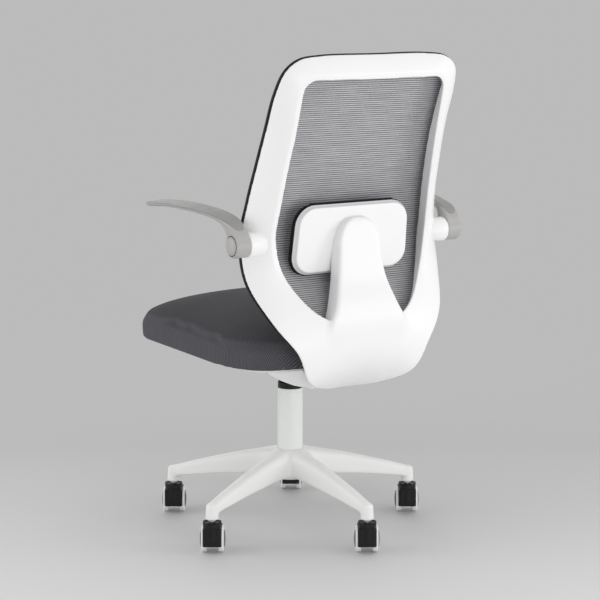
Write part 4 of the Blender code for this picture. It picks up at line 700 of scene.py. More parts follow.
socket_top = SOCKET_LOW + SOCKET_HEIGHT
bend = np.linspace(math.pi / 2, 0, 8)
socket = [(0, socket_top)]
socket += zip(SOCKET_RADIUS - SOCKET_ROUND * (1 - np.cos(bend)),
              socket_top - SOCKET_ROUND * (1 - np.sin(bend)))
socket += [(SOCKET_RADIUS + SOCKET_FLARE, SOCKET_LOW), (0, SOCKET_LOW)]
hub_low = HUB_TOP - HUB_HEIGHT
hub = [(HUB_BORE, HUB_TOP), (HUB_RADIUS - HUB_ROUND_IN, HUB_TOP), (HUB_RADIUS, HUB_TOP - HUB_ROUND_DOWN),
       (HUB_RADIUS, hub_low), (HUB_BORE, hub_low), (HUB_BORE, HUB_TOP)]
print("leg grid", leg_grid.shape)

# %% Skin of the base
BASE_VOXEL, BASE_ROUNDS = 0.0022, 5
# Webs and leg tips are smoothed further: soft limits by distance from the column, and by height
WEB_OUTER, WEB_INNER, WEB_DOWN, WEB_ROUNDS = (0.115, 0.060), (0.030, 0.040), (0.0, 0.010), 40
TIP_OUT, TIP_UP, TIP_ROUNDS = (0.225, 0.245), (0.006, 0.014), 8


def about_z(angle):
    """Matrix that turns rows of points about the Z axis by an angle."""
    cosine, sine = math.cos(angle), math.sin(angle)
    return np.array([[cosine, sine, 0], [-sine, cosine, 0], [0, 0, 1]])


leg_ways = FIRST_LEG + np.arange(LEG_COUNT) * 2 * math.pi / LEG_COUNT
stem_places = CASTER_CIRCLE * np.stack([np.cos(leg_ways), np.sin(leg_ways), np.zeros(LEG_COUNT)], axis=1)
base_shapes = [turned("hub", hub, 80)]
for way, stem in zip(leg_ways, stem_places):
    base_shapes.append(loft("leg", leg_grid @ about_z(way)))
    base_shapes.append(placed(turned("socket", socket, 40), stem))
star = one_skin("base_skin", base_shapes, BASE_VOXEL, BASE_ROUNDS)
place = mesh_points(star)
far = np.hypot(place[:, 0], place[:, 1])
webs = smoothstep(*WEB_OUTER, far) * smoothstep(*WEB_INNER, far)
webs *= smoothstep(*WEB_DOWN, HUB_TOP - place[:, 2])
relax(star, WEB_ROUNDS, webs, shrink=True)
tips = smoothstep(*TIP_OUT, far) * smoothstep(*TIP_UP, place[:, 2] - SOCKET_LOW)
relax(star, TIP_ROUNDS, tips, shrink=True)
piece("base_moulding", placed(star, COLUMN), "base", BASE_WHITE, "base_star")

# %% [markdown]
# ## Column cover
#
# A plain white sleeve hides the steel tube. It is a turned profile with a small chamfer at both ends, which
# catches a line of light where a sharp edge would not.

# %% Column cover
SLEEVE_WALL, END_CHAMFER = 0.0014, 0.0007
sleeve_low, sleeve_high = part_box("column_sleeve")
foot, top = sleeve_low.z, sleeve_high.z
radius = (sleeve_high.x - sleeve_low.x) / 2
cover = [(radius - SLEEVE_WALL, top), (radius - END_CHAMFER, top), (radius, top - END_CHAMFER),
         (radius, foot + END_CHAMFER), (radius - END_CHAMFER, foot), (radius - SLEEVE_WALL, foot),
         (radius - SLEEVE_WALL, top)]
cover = placed(turned("cover", cover, 96), COLUMN)
piece("column_cover", cover, "base", SLEEVE_WHITE, "column_sleeve", sharp=40)

# %% [markdown]
# ## Casters
#
# Each caster has a black hood and two wheels with white treads and dark grey bulging caps. The hood is a
# fender over the wheels, a square block and a round collar for the leg's socket, scooped fore and aft. Hood
# and wheels are made once in the caster's own frame, where X is the axle, and are then turned and moved to
# each leg. The wheel is turned from a profile; its cap faces are picked out by their radius and get the
# second finish.

# %% Caster hood
TRAIL, WHEEL_RADIUS = 0.020, 0.027
HOOD_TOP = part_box("caster_hood_1")[1].z
HOOD_OUTER, HOOD_HALF, HOOD_WEB, HOOD_LOW, HOOD_TAIL = 0.0317, 0.0190, 0.0056, 0.0190, 0.0093
HOOD_VOXEL, HOOD_ROUNDS = 0.0010, 4
COLLAR_RADIUS, COLLAR_HEIGHT, COLLAR_SCOOP, COLLAR_GROOVE = 0.0187, 0.0080, 0.0045, 0.0012
COLLAR_MOUTH, COLLAR_DISH, COLLAR_LIP = 0.0140, 0.003, 0.0160
COLLAR_LIP_RISE, COLLAR_EDGE_RISE, COLLAR_STEP = 0.0008, 0.0005, 0.0004
BLOCK_DEPTH, BLOCK_CORNER, BLOCK_GAP, BLOCK_ROUND, BLOCK_TOP_SHARE = 0.0165, 0.0045, 0.0012, 0.0015, 0.95
BAY_RADIUS, BAY_OUTER = 0.0287, 0.05

sweep = np.radians(np.linspace(180, 12, 36))
outline = np.vstack([
    [(TRAIL - HOOD_OUTER, HOOD_LOW)],
    np.column_stack([TRAIL + HOOD_OUTER * np.cos(sweep), WHEEL_RADIUS + HOOD_OUTER * np.sin(sweep)]),
    [(TRAIL + HOOD_TAIL, HOOD_LOW)]])
wide = np.linspace(-HOOD_HALF, HOOD_HALF, 12)
fender = np.stack([np.column_stack([np.full(len(outline), x), outline]) for x in wide])

collar_low, neck = HOOD_TOP - COLLAR_HEIGHT, COLLAR_RADIUS - COLLAR_GROOVE
collar = [(0, HOOD_TOP - COLLAR_DISH), (COLLAR_MOUTH, HOOD_TOP - COLLAR_DISH),
          (COLLAR_LIP, HOOD_TOP + COLLAR_LIP_RISE), (COLLAR_RADIUS, HOOD_TOP + COLLAR_EDGE_RISE),
          (COLLAR_RADIUS, collar_low), (neck, collar_low - COLLAR_STEP), (neck, WHEEL_RADIUS),
          (0, WHEEL_RADIUS)]
collar = turned("collar", collar, 48)
points = mesh_points(collar)
points[:, 2] -= COLLAR_SCOOP * (points[:, 1] / COLLAR_RADIUS) ** 2 * (points[:, 2] > collar_low - 0.001)
with_points(collar, points)

plan = rounded_rectangle(HOOD_HALF, BLOCK_DEPTH, BLOCK_CORNER)
block_top = collar_low - COLLAR_SCOOP - BLOCK_GAP
block_levels = ((1.0, HOOD_LOW), (1.0, block_top - BLOCK_ROUND), (BLOCK_TOP_SHARE, block_top))
block = np.stack([np.column_stack([plan * size, np.full(len(plan), z)]) for size, z in block_levels])
hood_shapes = [loft("fender", fender), collar, loft("block", block)]
hood = joined("hood", [one_skin("hood_skin", hood_shapes, HOOD_VOXEL, HOOD_ROUNDS)])
bay_profile = [(0, HOOD_WEB), (BAY_RADIUS, HOOD_WEB), (BAY_RADIUS, BAY_OUTER), (0, BAY_OUTER)]
bays = []
for side in (1, -1):
    bay = mirrored(turned("bay", bay_profile, 64, "X"), side, (0, TRAIL, WHEEL_RADIUS))
    bays.append(joined("bay", [bay]))
    cut = hood.modifiers.new("bay", "BOOLEAN")
    cut.operation = "DIFFERENCE"
    cut.solver = "EXACT"
    cut.object = bays[-1]
hood_mesh = evaluated(hood)
for bay in bays:
    bpy.data.objects.remove(bay, do_unlink=True)
print("hood", len(hood_mesh.polygons), "faces")

# %% Caster wheel
CAP_EDGE, CAP_INNER = 0.0187, 0.0215
# Wheel profile: radius and distance from the caster's middle, from the cap's centre round to the bore
WHEEL_PROFILE = (
    (0, 0.0262), (0.006, 0.0260), (0.012, 0.0253), (0.0165, 0.0243), (0.0185, 0.0230), (CAP_EDGE, 0.0222),
    (0.0194, 0.0222), (0.0200, 0.0230), (0.0245, 0.0228), (0.0262, 0.0219), (0.0270, 0.0202),
    (0.0270, 0.0137), (0.0266, 0.0124), (0.0255, 0.0118), (0.0182, 0.0115), (0.0180, 0.0068),
    (0.0033, 0.0066), (0.0033, 0.0212), (0, 0.0212),
)
wheel_mesh = turned("wheel", WHEEL_PROFILE, 72, "X")
middle = np.empty(len(wheel_mesh.polygons) * 3)
wheel_mesh.polygons.foreach_get("center", middle)
middle = middle.reshape(-1, 3)
is_cap = (np.hypot(middle[:, 1], middle[:, 2]) < CAP_EDGE) & (middle[:, 0] > CAP_INNER)
wheel_mesh.polygons.foreach_set("material_index", is_cap.astype(np.int32))
print("wheel", len(wheel_mesh.polygons), "faces,", int(is_cap.sum()), "of cap")

# %% Five casters
CASTER_HEADING = math.radians(149.0)


def carried(mesh, side, shift, stem):
    """A copy of a caster's mesh, mirrored and shifted in the caster's frame, turned and moved to its leg."""
    made = mirrored(mesh.copy(), side, shift)
    return with_points(made, mesh_points(made) @ about_z(CASTER_HEADING) + stem + COLUMN)


for number, stem in enumerate(stem_places, 1):
    piece(f"caster_{number}_hood", carried(hood_mesh, 1, (0, 0, 0), stem), f"caster_{number}", BLACK,
          f"caster_hood_{number}", sharp=40)
    for name, side in (("left", 1), ("right", -1)):
        wheel = carried(wheel_mesh, side, (0, TRAIL, WHEEL_RADIUS), stem)
        piece(f"caster_{number}_{name}", wheel, f"wheel_{number}_{name}", [TREAD_WHITE, CAP_GREY],
              f"caster_wheel_{number}_{name}", sharp=50)

# %% [markdown]
# ## Armrests
#
# Each arm is a thin blade that sweeps up out of a round hub and forward in a long flat curve; it flips up
# about the hub. The blade's sections stand square to its line: the top falls outwards, and below a lip the
# section narrows to a keel. Its top face is a separate, slightly darker pad with a thin dark seam round it,
# and the hub's outer end has a round cap. Pad and seam are carried along the same line as the blade, so
# they follow it exactly.

# %% Blade sections
# Stations: top line forward of and above the pivot, bottom line likewise, inner and outer side across
ARM_BLADE = (
    (-0.0222, 0.0050, 0.0222, 0.0050, 0.2303, 0.2610), (-0.0160, 0.0230, 0.0205, 0.0150, 0.2303, 0.2610),
    (-0.0015, 0.0380, 0.0215, 0.0240, 0.2315, 0.2635), (0.0205, 0.0500, 0.0320, 0.0340, 0.2325, 0.2675),
    (0.0550, 0.0575, 0.0610, 0.0440, 0.2335, 0.2720), (0.1050, 0.0615, 0.1080, 0.0500, 0.2340, 0.2790),
    (0.1700, 0.0630, 0.1710, 0.0525, 0.2345, 0.2860), (0.2400, 0.0612, 0.2400, 0.0515, 0.2345, 0.2875),
    (0.2880, 0.0580, 0.2880, 0.0475, 0.2350, 0.2860), (0.3220, 0.0548, 0.3220, 0.0440, 0.2370, 0.2810),
    (0.3410, 0.0520, 0.3410, 0.0420, 0.2430, 0.2720),
)
LAST_STATION, STATION_STEPS = len(ARM_BLADE) - 1, 8
BLADE_SLOPE, SLOPE_FROM, SLOPE_TO = 0.36, 1.6, 4.0
TIP_SLOPE, TIP_SLOPE_FROM = 0.20, 6.0
LIP_SHARE, KEEL_DRAW = 0.50, 1.4
LEAST_HALF, MOST_ROUND = 0.0004, 0.9


def blade_grid(stations, slope, low, high, inset, corner):
    """Rounded sections along the arm's line, from one depth below its top line to another.

    The top falls towards the outer side: a depth d of a blade of depth t becomes
    d + (t - d) * slope * share, where share grows from 0 at the inner side to 1 at the outer one.
    Below a lip the section narrows evenly to a keel, by a width in proportion to the slope.
    """
    top, bottom, wide = stations[:, 0:2], stations[:, 2:4], stations[:, 5] - stations[:, 4]
    length = np.linalg.norm(bottom - top, axis=1)
    down = unit(bottom - top)
    half_x = np.maximum(wide / 2 - inset, LEAST_HALF)
    half_d, centre_d = (high - low) / 2, (high + low) / 2
    round_to = np.minimum(corner, MOST_ROUND * np.minimum(half_x, half_d))
    section = rounded_rectangle(half_x, half_d, round_to)
    flat = np.reshape(centre_d, (-1, 1)) + section[..., 1]
    share = 0.5 + section[..., 0] / wide[:, None]
    depth = flat + (length[:, None] - flat) * slope[:, None] * share
    line = top[:, None] + down[:, None] * depth[..., None]
    keel = np.maximum(flat / length[:, None] - LIP_SHARE, 0) / (1 - LIP_SHARE)
    across = section[..., 0] * (1 - KEEL_DRAW * slope[:, None] * keel)
    centre_x = (stations[:, 5] + stations[:, 4])[:, None] / 2
    return np.stack([centre_x + across, -line[..., 0], line[..., 1]], axis=2)


stations = smooth_path(ARM_BLADE, STATION_STEPS)
number = np.linspace(0, LAST_STATION, len(stations))
slope = BLADE_SLOPE * smoothstep(SLOPE_FROM, SLOPE_TO, number)
slope += (TIP_SLOPE - BLADE_SLOPE) * smoothstep(TIP_SLOPE_FROM, LAST_STATION, number)
full_depth = np.linalg.norm(stations[:, 2:4] - stations[:, 0:2], axis=1)
print(len(stations), "sections along the blade")

# %% Pad, hub and cap of the arms
PAD_FROM, PAD_VEE, PAD_END_RUN, PAD_END_DRAW = 1.40, 1.5, 0.35, 0.004
PAD_INSET, SEAM_WIDTH, PAD_PROUD, SEAM_PROUD, PAD_BITE = 0.0018, 0.0005, 0.0007, 0.0002, 0.0020
ARM_CORNER, PAD_CORNER, SEAM_CORNER = 0.0025, 0.0011, 0.0004
ARM_HUB_RADIUS, ARM_HUB_INNER, ARM_HUB_OUTER = 0.0238, 0.2303, 0.2610
HUB_OUTER_ROUND, HUB_INNER_ROUND = 0.0012, 0.0008
CAP_RADIUS, CAP_RISE, CAP_FULLNESS, CAP_SUNK = 0.0187, 0.0065, 0.8, 0.004
CAP_SEAM, CAP_SEAM_PROUD, CAP_SEAM_SUNK = 0.0015, 0.0002, 0.003

on_pad = number >= PAD_FROM
vee = np.clip((number[on_pad] - PAD_FROM) / PAD_VEE, 0, 1)
widths = (stations[on_pad, 5] - stations[on_pad, 4]) / 2
drawn_in = (widths - PAD_INSET) * (1 - np.sqrt(np.maximum(1 - (1 - vee) ** 2, 0.0)))
drawn_in += PAD_END_DRAW * smoothstep(LAST_STATION - PAD_END_RUN, LAST_STATION, number[on_pad])

hub_profile = [
    (0, ARM_HUB_OUTER), (ARM_HUB_RADIUS - HUB_OUTER_ROUND, ARM_HUB_OUTER),
    (ARM_HUB_RADIUS, ARM_HUB_OUTER - HUB_OUTER_ROUND), (ARM_HUB_RADIUS, ARM_HUB_INNER + HUB_INNER_ROUND),
    (ARM_HUB_RADIUS - HUB_INNER_ROUND, ARM_HUB_INNER), (0, ARM_HUB_INNER)]
bend = np.linspace(0, math.pi / 2, 10)
cap_profile = [(0, ARM_HUB_OUTER + CAP_RISE)]
cap_profile += zip(CAP_RADIUS * np.sin(bend) ** CAP_FULLNESS, ARM_HUB_OUTER + CAP_RISE * np.cos(bend))
cap_profile += [(CAP_RADIUS, ARM_HUB_OUTER - CAP_SUNK), (0, ARM_HUB_OUTER - CAP_SUNK)]
seam_out, seam_in = ARM_HUB_OUTER + CAP_SEAM_PROUD, ARM_HUB_OUTER - CAP_SEAM_SUNK
seam_radius = CAP_RADIUS + CAP_SEAM
seam_profile = [(0, seam_out), (seam_radius, seam_out), (seam_radius, seam_in), (0, seam_in)]
print(int(on_pad.sum()), "sections carry the pad")

# %% Two arms
ARM_VOXEL, ARM_ROUNDS = 0.0016, 4


def run_of_pad(proud, inset, corner):
    """Closed strip along the top of the blade, this proud of it and this far in from its sides."""
    points = blade_grid(stations[on_pad], slope[on_pad], -proud, PAD_BITE, inset + drawn_in, corner)
    return loft("strip", points)


for name, side in (("left", 1), ("right", -1)):
    blade = loft("blade", blade_grid(stations, slope, 0.0, full_depth, 0.0, ARM_CORNER))
    blade = one_skin("arm_skin", [blade, turned("hub", hub_profile, 64, "X")], ARM_VOXEL, ARM_ROUNDS)
    seam = run_of_pad(SEAM_PROUD, PAD_INSET - SEAM_WIDTH, SEAM_CORNER)
    pad = run_of_pad(PAD_PROUD, PAD_INSET, PAD_CORNER)
    cap_seam, cap = turned("cap_seam", seam_profile, 64, "X"), turned("cap", cap_profile, 64, "X")
    for mesh in (blade, seam, pad, cap_seam, cap):
        mirrored(mesh, side, ARM_PIVOT + COLUMN)
    body = f"arm_{name}"
    piece(f"arm_{name}_blade", blade, body, ARM_GREY, f"armrest_{name}")
    piece(f"arm_{name}_seam", seam, body, SEAM_GREY)
    piece(f"arm_{name}_pad", pad, body, PAD_GREY, f"arm_pad_{name}", sharp=60)
    piece(f"arm_{name}_cap_seam", cap_seam, body, GROOVE, sharp=40)
    piece(f"arm_{name}_cap", cap, body, ARM_GREY, f"arm_cap_{name}", sharp=50)

# %% [markdown]
# ## Back mesh and its rim
#
# A knitted mesh is stretched over the front of the frame, and its border is pulled into a dark rim. The
# knit has close horizontal ribs, so the panel is a grid with many rows: each row is moved a little in and
# out by a cosine of its distance down the cloth. The ribs are real relief, and the open lines between
# them are a pattern in the cloth's own coordinates, metres across and metres down.

# %% Border and rim
MESH_LOW, MESH_CORNER, MESH_BOW = 0.080, 0.030, 0.004
RIM_RADIUS, RIM_WIDE, RIM_CLEARANCE, RIM_SIDES = 0.0036, 0.0026, 0.0006, 16


def tube(path, aside, upright, wide, tall, sides):
    """Ellipse carried along a path: a point plus wide cosines of one way and tall sines of the other."""
    turn = np.linspace(0, 2 * math.pi, sides, endpoint=False)[None, :, None]
    return path[:, None] + wide * np.cos(turn) * aside[:, None] + tall * np.sin(turn) * upright[:, None]


half_rim = rim[: (len(BACK_RIM) - 1) * SPAN_STEPS + 1]
low = PAN_Z + MESH_LOW
side_line = half_rim[half_rim[:, 2] > low + MESH_CORNER]
angle = np.radians(np.linspace(0, 90, 12)[1:])
height = low + MESH_CORNER * (1 - np.sin(angle))
corner = np.column_stack([
    np.interp(height, half_rim[::-1, 2], half_rim[::-1, 0]) - MESH_CORNER * (1 - np.cos(angle)),
    np.interp(height, half_rim[::-1, 2], half_rim[::-1, 1]), height])
border = np.vstack([side_line, corner])
run = np.hypot(np.gradient(border[:, 0]), np.gradient(border[:, 2]))
border[:, 1] -= (RIM_RADIUS + RIM_CLEARANCE) * np.sqrt(1 + (np.gradient(border[:, 1]) / run) ** 2)

loop = np.vstack([border, border[:0:-1] * (-1, 1, 1)])
ahead = unit(np.roll(loop, -1, axis=0) - np.roll(loop, 1, axis=0))
aside = unit(np.cross(ahead, (0.0, 1.0, 0.0)))
rim_grid = tube(loop, aside, np.cross(aside, ahead), RIM_WIDE, RIM_RADIUS, RIM_SIDES)
rim_piece = grid_mesh("rim", rim_grid, round_u=True, round_v=True)
piece("mesh_border", placed(rim_piece, COLUMN), "tilt", BLACK, "mesh_rim")

# %% Ribbed panel
RIB_PITCH, RIB_DEPTH, CLOTH_THICKNESS = 0.0046, 0.00030, 0.0010
PANEL_COLUMNS, ROWS_A_RIB = 36, 6
BORDER_GAP = 0.0007

rows = border[SPAN_STEPS:]
inset = RIM_RADIUS + BORDER_GAP
middle, reach = (rows[0, 2] + rows[-1, 2]) / 2, (rows[0, 2] - rows[-1, 2]) / 2
down = np.concatenate([[0], np.cumsum(np.linalg.norm(np.diff(rows[:, 1:], axis=0), axis=1))])
drop = np.linspace(0, down[-1], int(down[-1] / RIB_PITCH * ROWS_A_RIB) + 1)
half_width = np.interp(drop, down, rows[:, 0]) * (1 - inset / rows[:, 0].max())
level = middle + (np.interp(drop, down, rows[:, 2]) - middle) * (1 - inset / reach)
depth = np.interp(-level, -rows[:, 2], rows[:, 1])
across = np.linspace(-1, 1, PANEL_COLUMNS + 1)[None]
fullness = np.sin(math.pi * (level - level[-1]) / (level[0] - level[-1]))
bow = MESH_BOW * fullness[:, None] * (1 - across**2)
rib = RIB_DEPTH * np.cos(2 * math.pi * drop / RIB_PITCH)
panel = np.stack([half_width[:, None] * across, (depth + rib)[:, None] + bow,
                  np.broadcast_to(level[:, None], bow.shape)], axis=2)
cloth = grid_mesh("panel", panel)

corner_of = np.empty(len(cloth.loops), int)
cloth.loops.foreach_get("vertex_index", corner_of)
where = mesh_points(cloth)[corner_of]
uv = np.column_stack([where[:, 0], np.interp(-where[:, 2], -level, drop)])
cloth.uv_layers.new(name="cloth").data.foreach_set("uv", uv.ravel())

# %% Knit and the finished panel
THREAD_PITCH, FUZZ_SCALE = 0.0016, 900.0
STREAK_ACROSS, STREAK_LOW, STREAK_HIGH = 14.0, 0.70, 1.10
SLIT_WIDTH, SLIT_OPEN, BRIDGE = 0.22, 0.5, -0.2


def ribs(tree, length, pitch):
    """Ridges that rise and fall between 0 and 1: half of one plus the cosine of a length over the pitch."""
    wave = math_node(tree, "COSINE", math_node(tree, "MULTIPLY", length, 2 * math.pi / pitch))
    return math_node(tree, "MULTIPLY", math_node(tree, "ADD", wave, 1.0), 0.5)


def knit(name, colour, seam_colour, pitch):
    """Ribbed knit in cloth coordinates.

    Ribs go by a cosine down, threads by a finer one across, and slits open in the valleys. A noise that is
    long across and one rib high makes some ribs paler in streaks, as uneven yarn does.
    """
    made, tree, output = blank_material(name)
    cloth_uv = shade(tree, "UVMap")
    cloth_uv.uv_map = "cloth"
    parts = shade(tree, "SeparateXYZ", Vector=cloth_uv.outputs[0])
    ridge = ribs(tree, parts.outputs["Y"], pitch)
    turns = math_node(tree, "MULTIPLY", parts.outputs["X"], 2 * math.pi / THREAD_PITCH)
    thread = math_node(tree, "COSINE", turns)
    fuzz = noise(tree, shade(tree, "TexCoord").outputs["Object"], FUZZ_SCALE, 2.0)
    stretched = (STREAK_ACROSS, 1 / pitch, 0.0)
    long_way = shade(tree, "VectorMath", operation="MULTIPLY", i0=cloth_uv.outputs[0], i1=stretched)
    streak = noise(tree, long_way.outputs[0], 1.0, 3.0)
    streak = mapped(tree, streak, NOISE_LOW, NOISE_HIGH, STREAK_LOW, STREAK_HIGH)
    tint = mixed(tree, math_node(tree, "MULTIPLY", ridge, streak), seam_colour, colour)
    relief = math_node(tree, "ADD", math_node(tree, "MULTIPLY", thread, 0.5), fuzz)
    bump = shade(tree, "Bump", Height=relief, Strength=0.35, Distance=0.0002)
    yarn = shade(tree, "BsdfPrincipled", Base_Color=tint, Normal=bump.outputs[0], Roughness=0.85,
                 Sheen_Weight=0.10, Specular_IOR_Level=0.25)
    slit = mapped(tree, ridge, 0.0, SLIT_WIDTH, SLIT_OPEN, 0.0)
    hole = math_node(tree, "MULTIPLY", slit, math_node(tree, "GREATER_THAN", thread, BRIDGE))
    clear = shade(tree, "BsdfTransparent")
    seen = shade(tree, "MixShader", Fac=hole, i1=yarn.outputs[0], i2=clear.outputs[0])
    tree.links.new(seen.outputs[0], output.inputs["Surface"])
    return made


KNIT = knit("mesh_knit", (0.58, 0.575, 0.60), (0.15, 0.15, 0.16), RIB_PITCH)
mesh_panel = piece("mesh_panel", placed(cloth, COLUMN), "tilt", KNIT, "back_mesh")
wall = mesh_panel.modifiers.new("cloth", "SOLIDIFY")
wall.thickness = CLOTH_THICKNESS
wall.offset = 0

# %% [markdown]
# ## Lumbar plate and pad
#
# The plate is a thin moulding with drafted walls and a small round at its face, leaned with the back. It is
# a stack of rounded rectangles, each drawn in a little, and the whole stack is then sheared. The pad lies
# between the plate and the mesh: a thin foam cushion that stands a few millimetres out past the plate,
# which shows as a dark edge. Its near black cloth is partly its own colour and partly painted shade for that
# gap.

# %% Lumbar plate
PLATE_HALF_X, PLATE_HALF_Z, PLATE_CORNER, LEAST_CORNER = 0.1310, 0.0695, 0.040, 0.15
PLATE_DRAFT, PLATE_ROUND = 0.0045, 0.0030
PLATE_LEAN, PLATE_TAPER, PLATE_SET_BACK = 0.14, 0.04, 0.008
PLATE_MIDDLE = PAN_Z + 0.268
plate_front, plate_back = (corner.y - COLUMN[1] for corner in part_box("lumbar_plate"))


def stacked(name, half_x, half_z, corner, levels, steps=8):
    """Closed form from rounded rectangles: each level is (how far drawn in, place along the depth)."""
    drawn, y = np.array(levels).T
    round_to = np.maximum(corner - drawn, LEAST_CORNER * (half_z - drawn))
    flat = rounded_rectangle(half_x - drawn, half_z - drawn, round_to, steps)
    y = np.broadcast_to(y[:, None], flat.shape[:2])
    return loft(name, np.stack([flat[..., 0], y, flat[..., 1]], axis=2))


def leaned(mesh):
    """The mesh leaned with the back: depth grows evenly with height, and width falls evenly with it."""
    points = mesh_points(mesh)
    points[:, 1] += PLATE_SET_BACK + PLATE_LEAN * points[:, 2]
    points[:, 0] *= 1 - PLATE_TAPER * points[:, 2] / PLATE_HALF_X
    return with_points(mesh, points)


bend = np.linspace(0, math.pi / 2, 9)
levels = [(0.040, plate_front), (0.002, plate_front)]
levels += [(0.0005, plate_front + 0.0008), (0.0, plate_front + 0.0020)]
levels += zip(PLATE_DRAFT + PLATE_ROUND * (1 - np.cos(bend)), plate_back - PLATE_ROUND * (1 - np.sin(bend)))
levels += [(PLATE_DRAFT + PLATE_ROUND + drawn, plate_back) for drawn in (0.015, 0.050)]
plate = leaned(stacked("plate", PLATE_HALF_X, PLATE_HALF_Z, PLATE_CORNER, levels))
plate = placed(plate, COLUMN + (0, 0, PLATE_MIDDLE))
print("plate depth", round(plate_front, 4), "to", round(plate_back, 4))
piece("lumbar_moulding", plate, "tilt", WHITE, "lumbar_plate", sharp=50)

# %% [markdown]
# ## Upholstery cloth
#
# Seat and pad wear the same corded fabric, charcoal on the seat and nearly black on the pad, whose black is
# partly its own cloth and partly painted shade for the gap round the plate. The cords run across the seat's
# top and turn down over its edges, so the pattern can't come from one axis alone. Each point carries a
# length, measured along the cloth from the seat's middle line, and a cosine of it makes the cords. A second
# number paints shade on the seat's top: the top is drawn darker than the sides, as if less light fell on it.
# A broad noise varies the tone, and a sheen gives the pale edge that pile shows.

# %% Corded fabric
CORD_PITCH, CORD_FUZZ_SCALE, CORD_TONE_SCALE = 0.0052, 1100.0, 14.0
CORD_WEIGHT, FUZZ_WEIGHT, BROAD_WEIGHT = 0.62, 0.4, 0.2
# The last share darkens the seat's top against its sides: painted shade.
VALLEY_SHARE, RIDGE_SHARE, TOP_SHADE_SHARE = 0.25, 1.60, 0.66


def corded(name, colour):
    """Cloth with cords by a cosine of the length that its points carry, darker on top by painted shade."""
    made, tree, output = blank_material(name)
    run, painted_side_light = shade(tree, "Attribute"), shade(tree, "Attribute")
    run.attribute_name, painted_side_light.attribute_name = "cord_run", "painted_side_light"
    spot = shade(tree, "TexCoord").outputs["Object"]
    ridge = ribs(tree, run.outputs["Fac"], CORD_PITCH)
    fuzz = noise(tree, spot, CORD_FUZZ_SCALE, 3.0)
    broad = noise(tree, spot, CORD_TONE_SCALE, 4.0)
    tone = math_node(tree, "MULTIPLY", ridge, CORD_WEIGHT)
    tone = math_node(tree, "ADD", tone, math_node(tree, "MULTIPLY", fuzz, FUZZ_WEIGHT))
    tone = math_node(tree, "ADD", tone, math_node(tree, "MULTIPLY", broad, BROAD_WEIGHT))
    valley, crown = ([share * channel for channel in colour] for share in (VALLEY_SHARE, RIDGE_SHARE))
    tint = mixed(tree, tone, valley, crown)
    relief = math_node(tree, "ADD", ridge, math_node(tree, "MULTIPLY", fuzz, 0.8))
    bump = shade(tree, "Bump", Height=relief, Strength=0.6, Distance=0.0007)
    # Painted shade: the colour is darker where the cloth faces up.
    paler = mapped(tree, painted_side_light.outputs["Fac"], 0.0, 1.0, TOP_SHADE_SHARE, 1.0)
    drawn = shade(tree, "VectorMath", operation="SCALE", i0=tint, Scale=paler)
    cloth = shade(tree, "BsdfPrincipled", Base_Color=drawn.outputs[0], Normal=bump.outputs[0], Roughness=0.92,
                  Sheen_Weight=0.06, Sheen_Roughness=0.45, Specular_IOR_Level=0.2)
    tree.links.new(cloth.outputs[0], output.inputs["Surface"])
    return made


CHARCOAL_CLOTH = corded("charcoal_cord", (0.073, 0.073, 0.082))
# Nearly black: the pad's own dark cloth, darkened further as painted shade for the gap round the plate.
BLACK_CLOTH_AND_GAP_SHADE = corded("black_cord_and_gap_shade", (0.018, 0.018, 0.020))
print(len(bpy.data.materials), "finishes with the cloth")

# %% [markdown]
# ## Stuffing by simulation
#
# Real padding is air and foam that push out against cloth. A closed copy is remeshed into even cells and
# run as cloth with pressure inside and no gravity, for twenty frames. Points move along the surface's
# normal, out by a cap at most and in by less, because foam holds the edges that a bag of air would pull
# in. One subdivision smooths the result.

# %% Swell a closed form
SWELL_FRAMES, SWELL_PRESSURE, SWELL_QUALITY = 20, 4.0, 5
PLAIN_ROUNDS, SWOLLEN_ROUNDS = 6, 14
FOAM_GIVE = 0.2


def mesh_normals(mesh):
    """The outward direction at each point of a mesh."""
    flat = np.empty(len(mesh.vertices) * 3)
    mesh.vertices.foreach_get("normal", flat)
    return flat.reshape(-1, 3)


def swollen(name, mesh, voxel, cap, hold=None):
    """The mesh remeshed to even cells and swollen as cloth.

    A point moves along its normal as far as the cloth did, cut off at the cap outwards and at a share of
    it inwards, times one minus what hold gives for its place (0 free, 1 held).
    """
    plain = one_skin(name, [mesh], voxel, PLAIN_ROUNDS)
    start, outward = mesh_points(plain), mesh_normals(plain)
    item = bpy.data.objects.new(name, plain)
    scene.collection.objects.link(item)
    cloth = item.modifiers.new("swell", "CLOTH")
    cloth.settings.use_pressure = True
    cloth.settings.uniform_pressure_force = SWELL_PRESSURE
    cloth.settings.effector_weights.gravity = 0.0
    cloth.settings.quality = SWELL_QUALITY
    cloth.point_cache.frame_start = 1
    cloth.point_cache.frame_end = SWELL_FRAMES
    for number in range(1, SWELL_FRAMES + 1):
        scene.frame_set(number)
    swelled = evaluated(item)
    scene.frame_set(1)
    out = ((mesh_points(swelled) - start) * outward).sum(axis=1)
    out = np.clip(out, -FOAM_GIVE * cap, cap)
    if hold:
        out = out * (1 - hold(start))
    print(f"{name} moved between {1000 * out.min():.1f} and {1000 * out.max():.1f} mm")
    return relax(with_points(swelled, start + out[:, None] * outward), SWOLLEN_ROUNDS)


def finer(item):
    """One subdivision, the same in the view and the render."""
    smooth = item.modifiers.new("finer", "SUBSURF")
    smooth.levels = 1
    smooth.render_levels = 1

# %% Lumbar pad
PAD_OUT, PAD_VOXEL, PAD_SWELL, PAD_DRAWN = 0.0035, 0.004, 0.001, 0.050


def stored(mesh, name, values):
    """Keeps one number for each point of a mesh, for its material to read."""
    mesh.attributes.new(name, "FLOAT", "POINT").data.foreach_set("value", values.astype(np.float32))


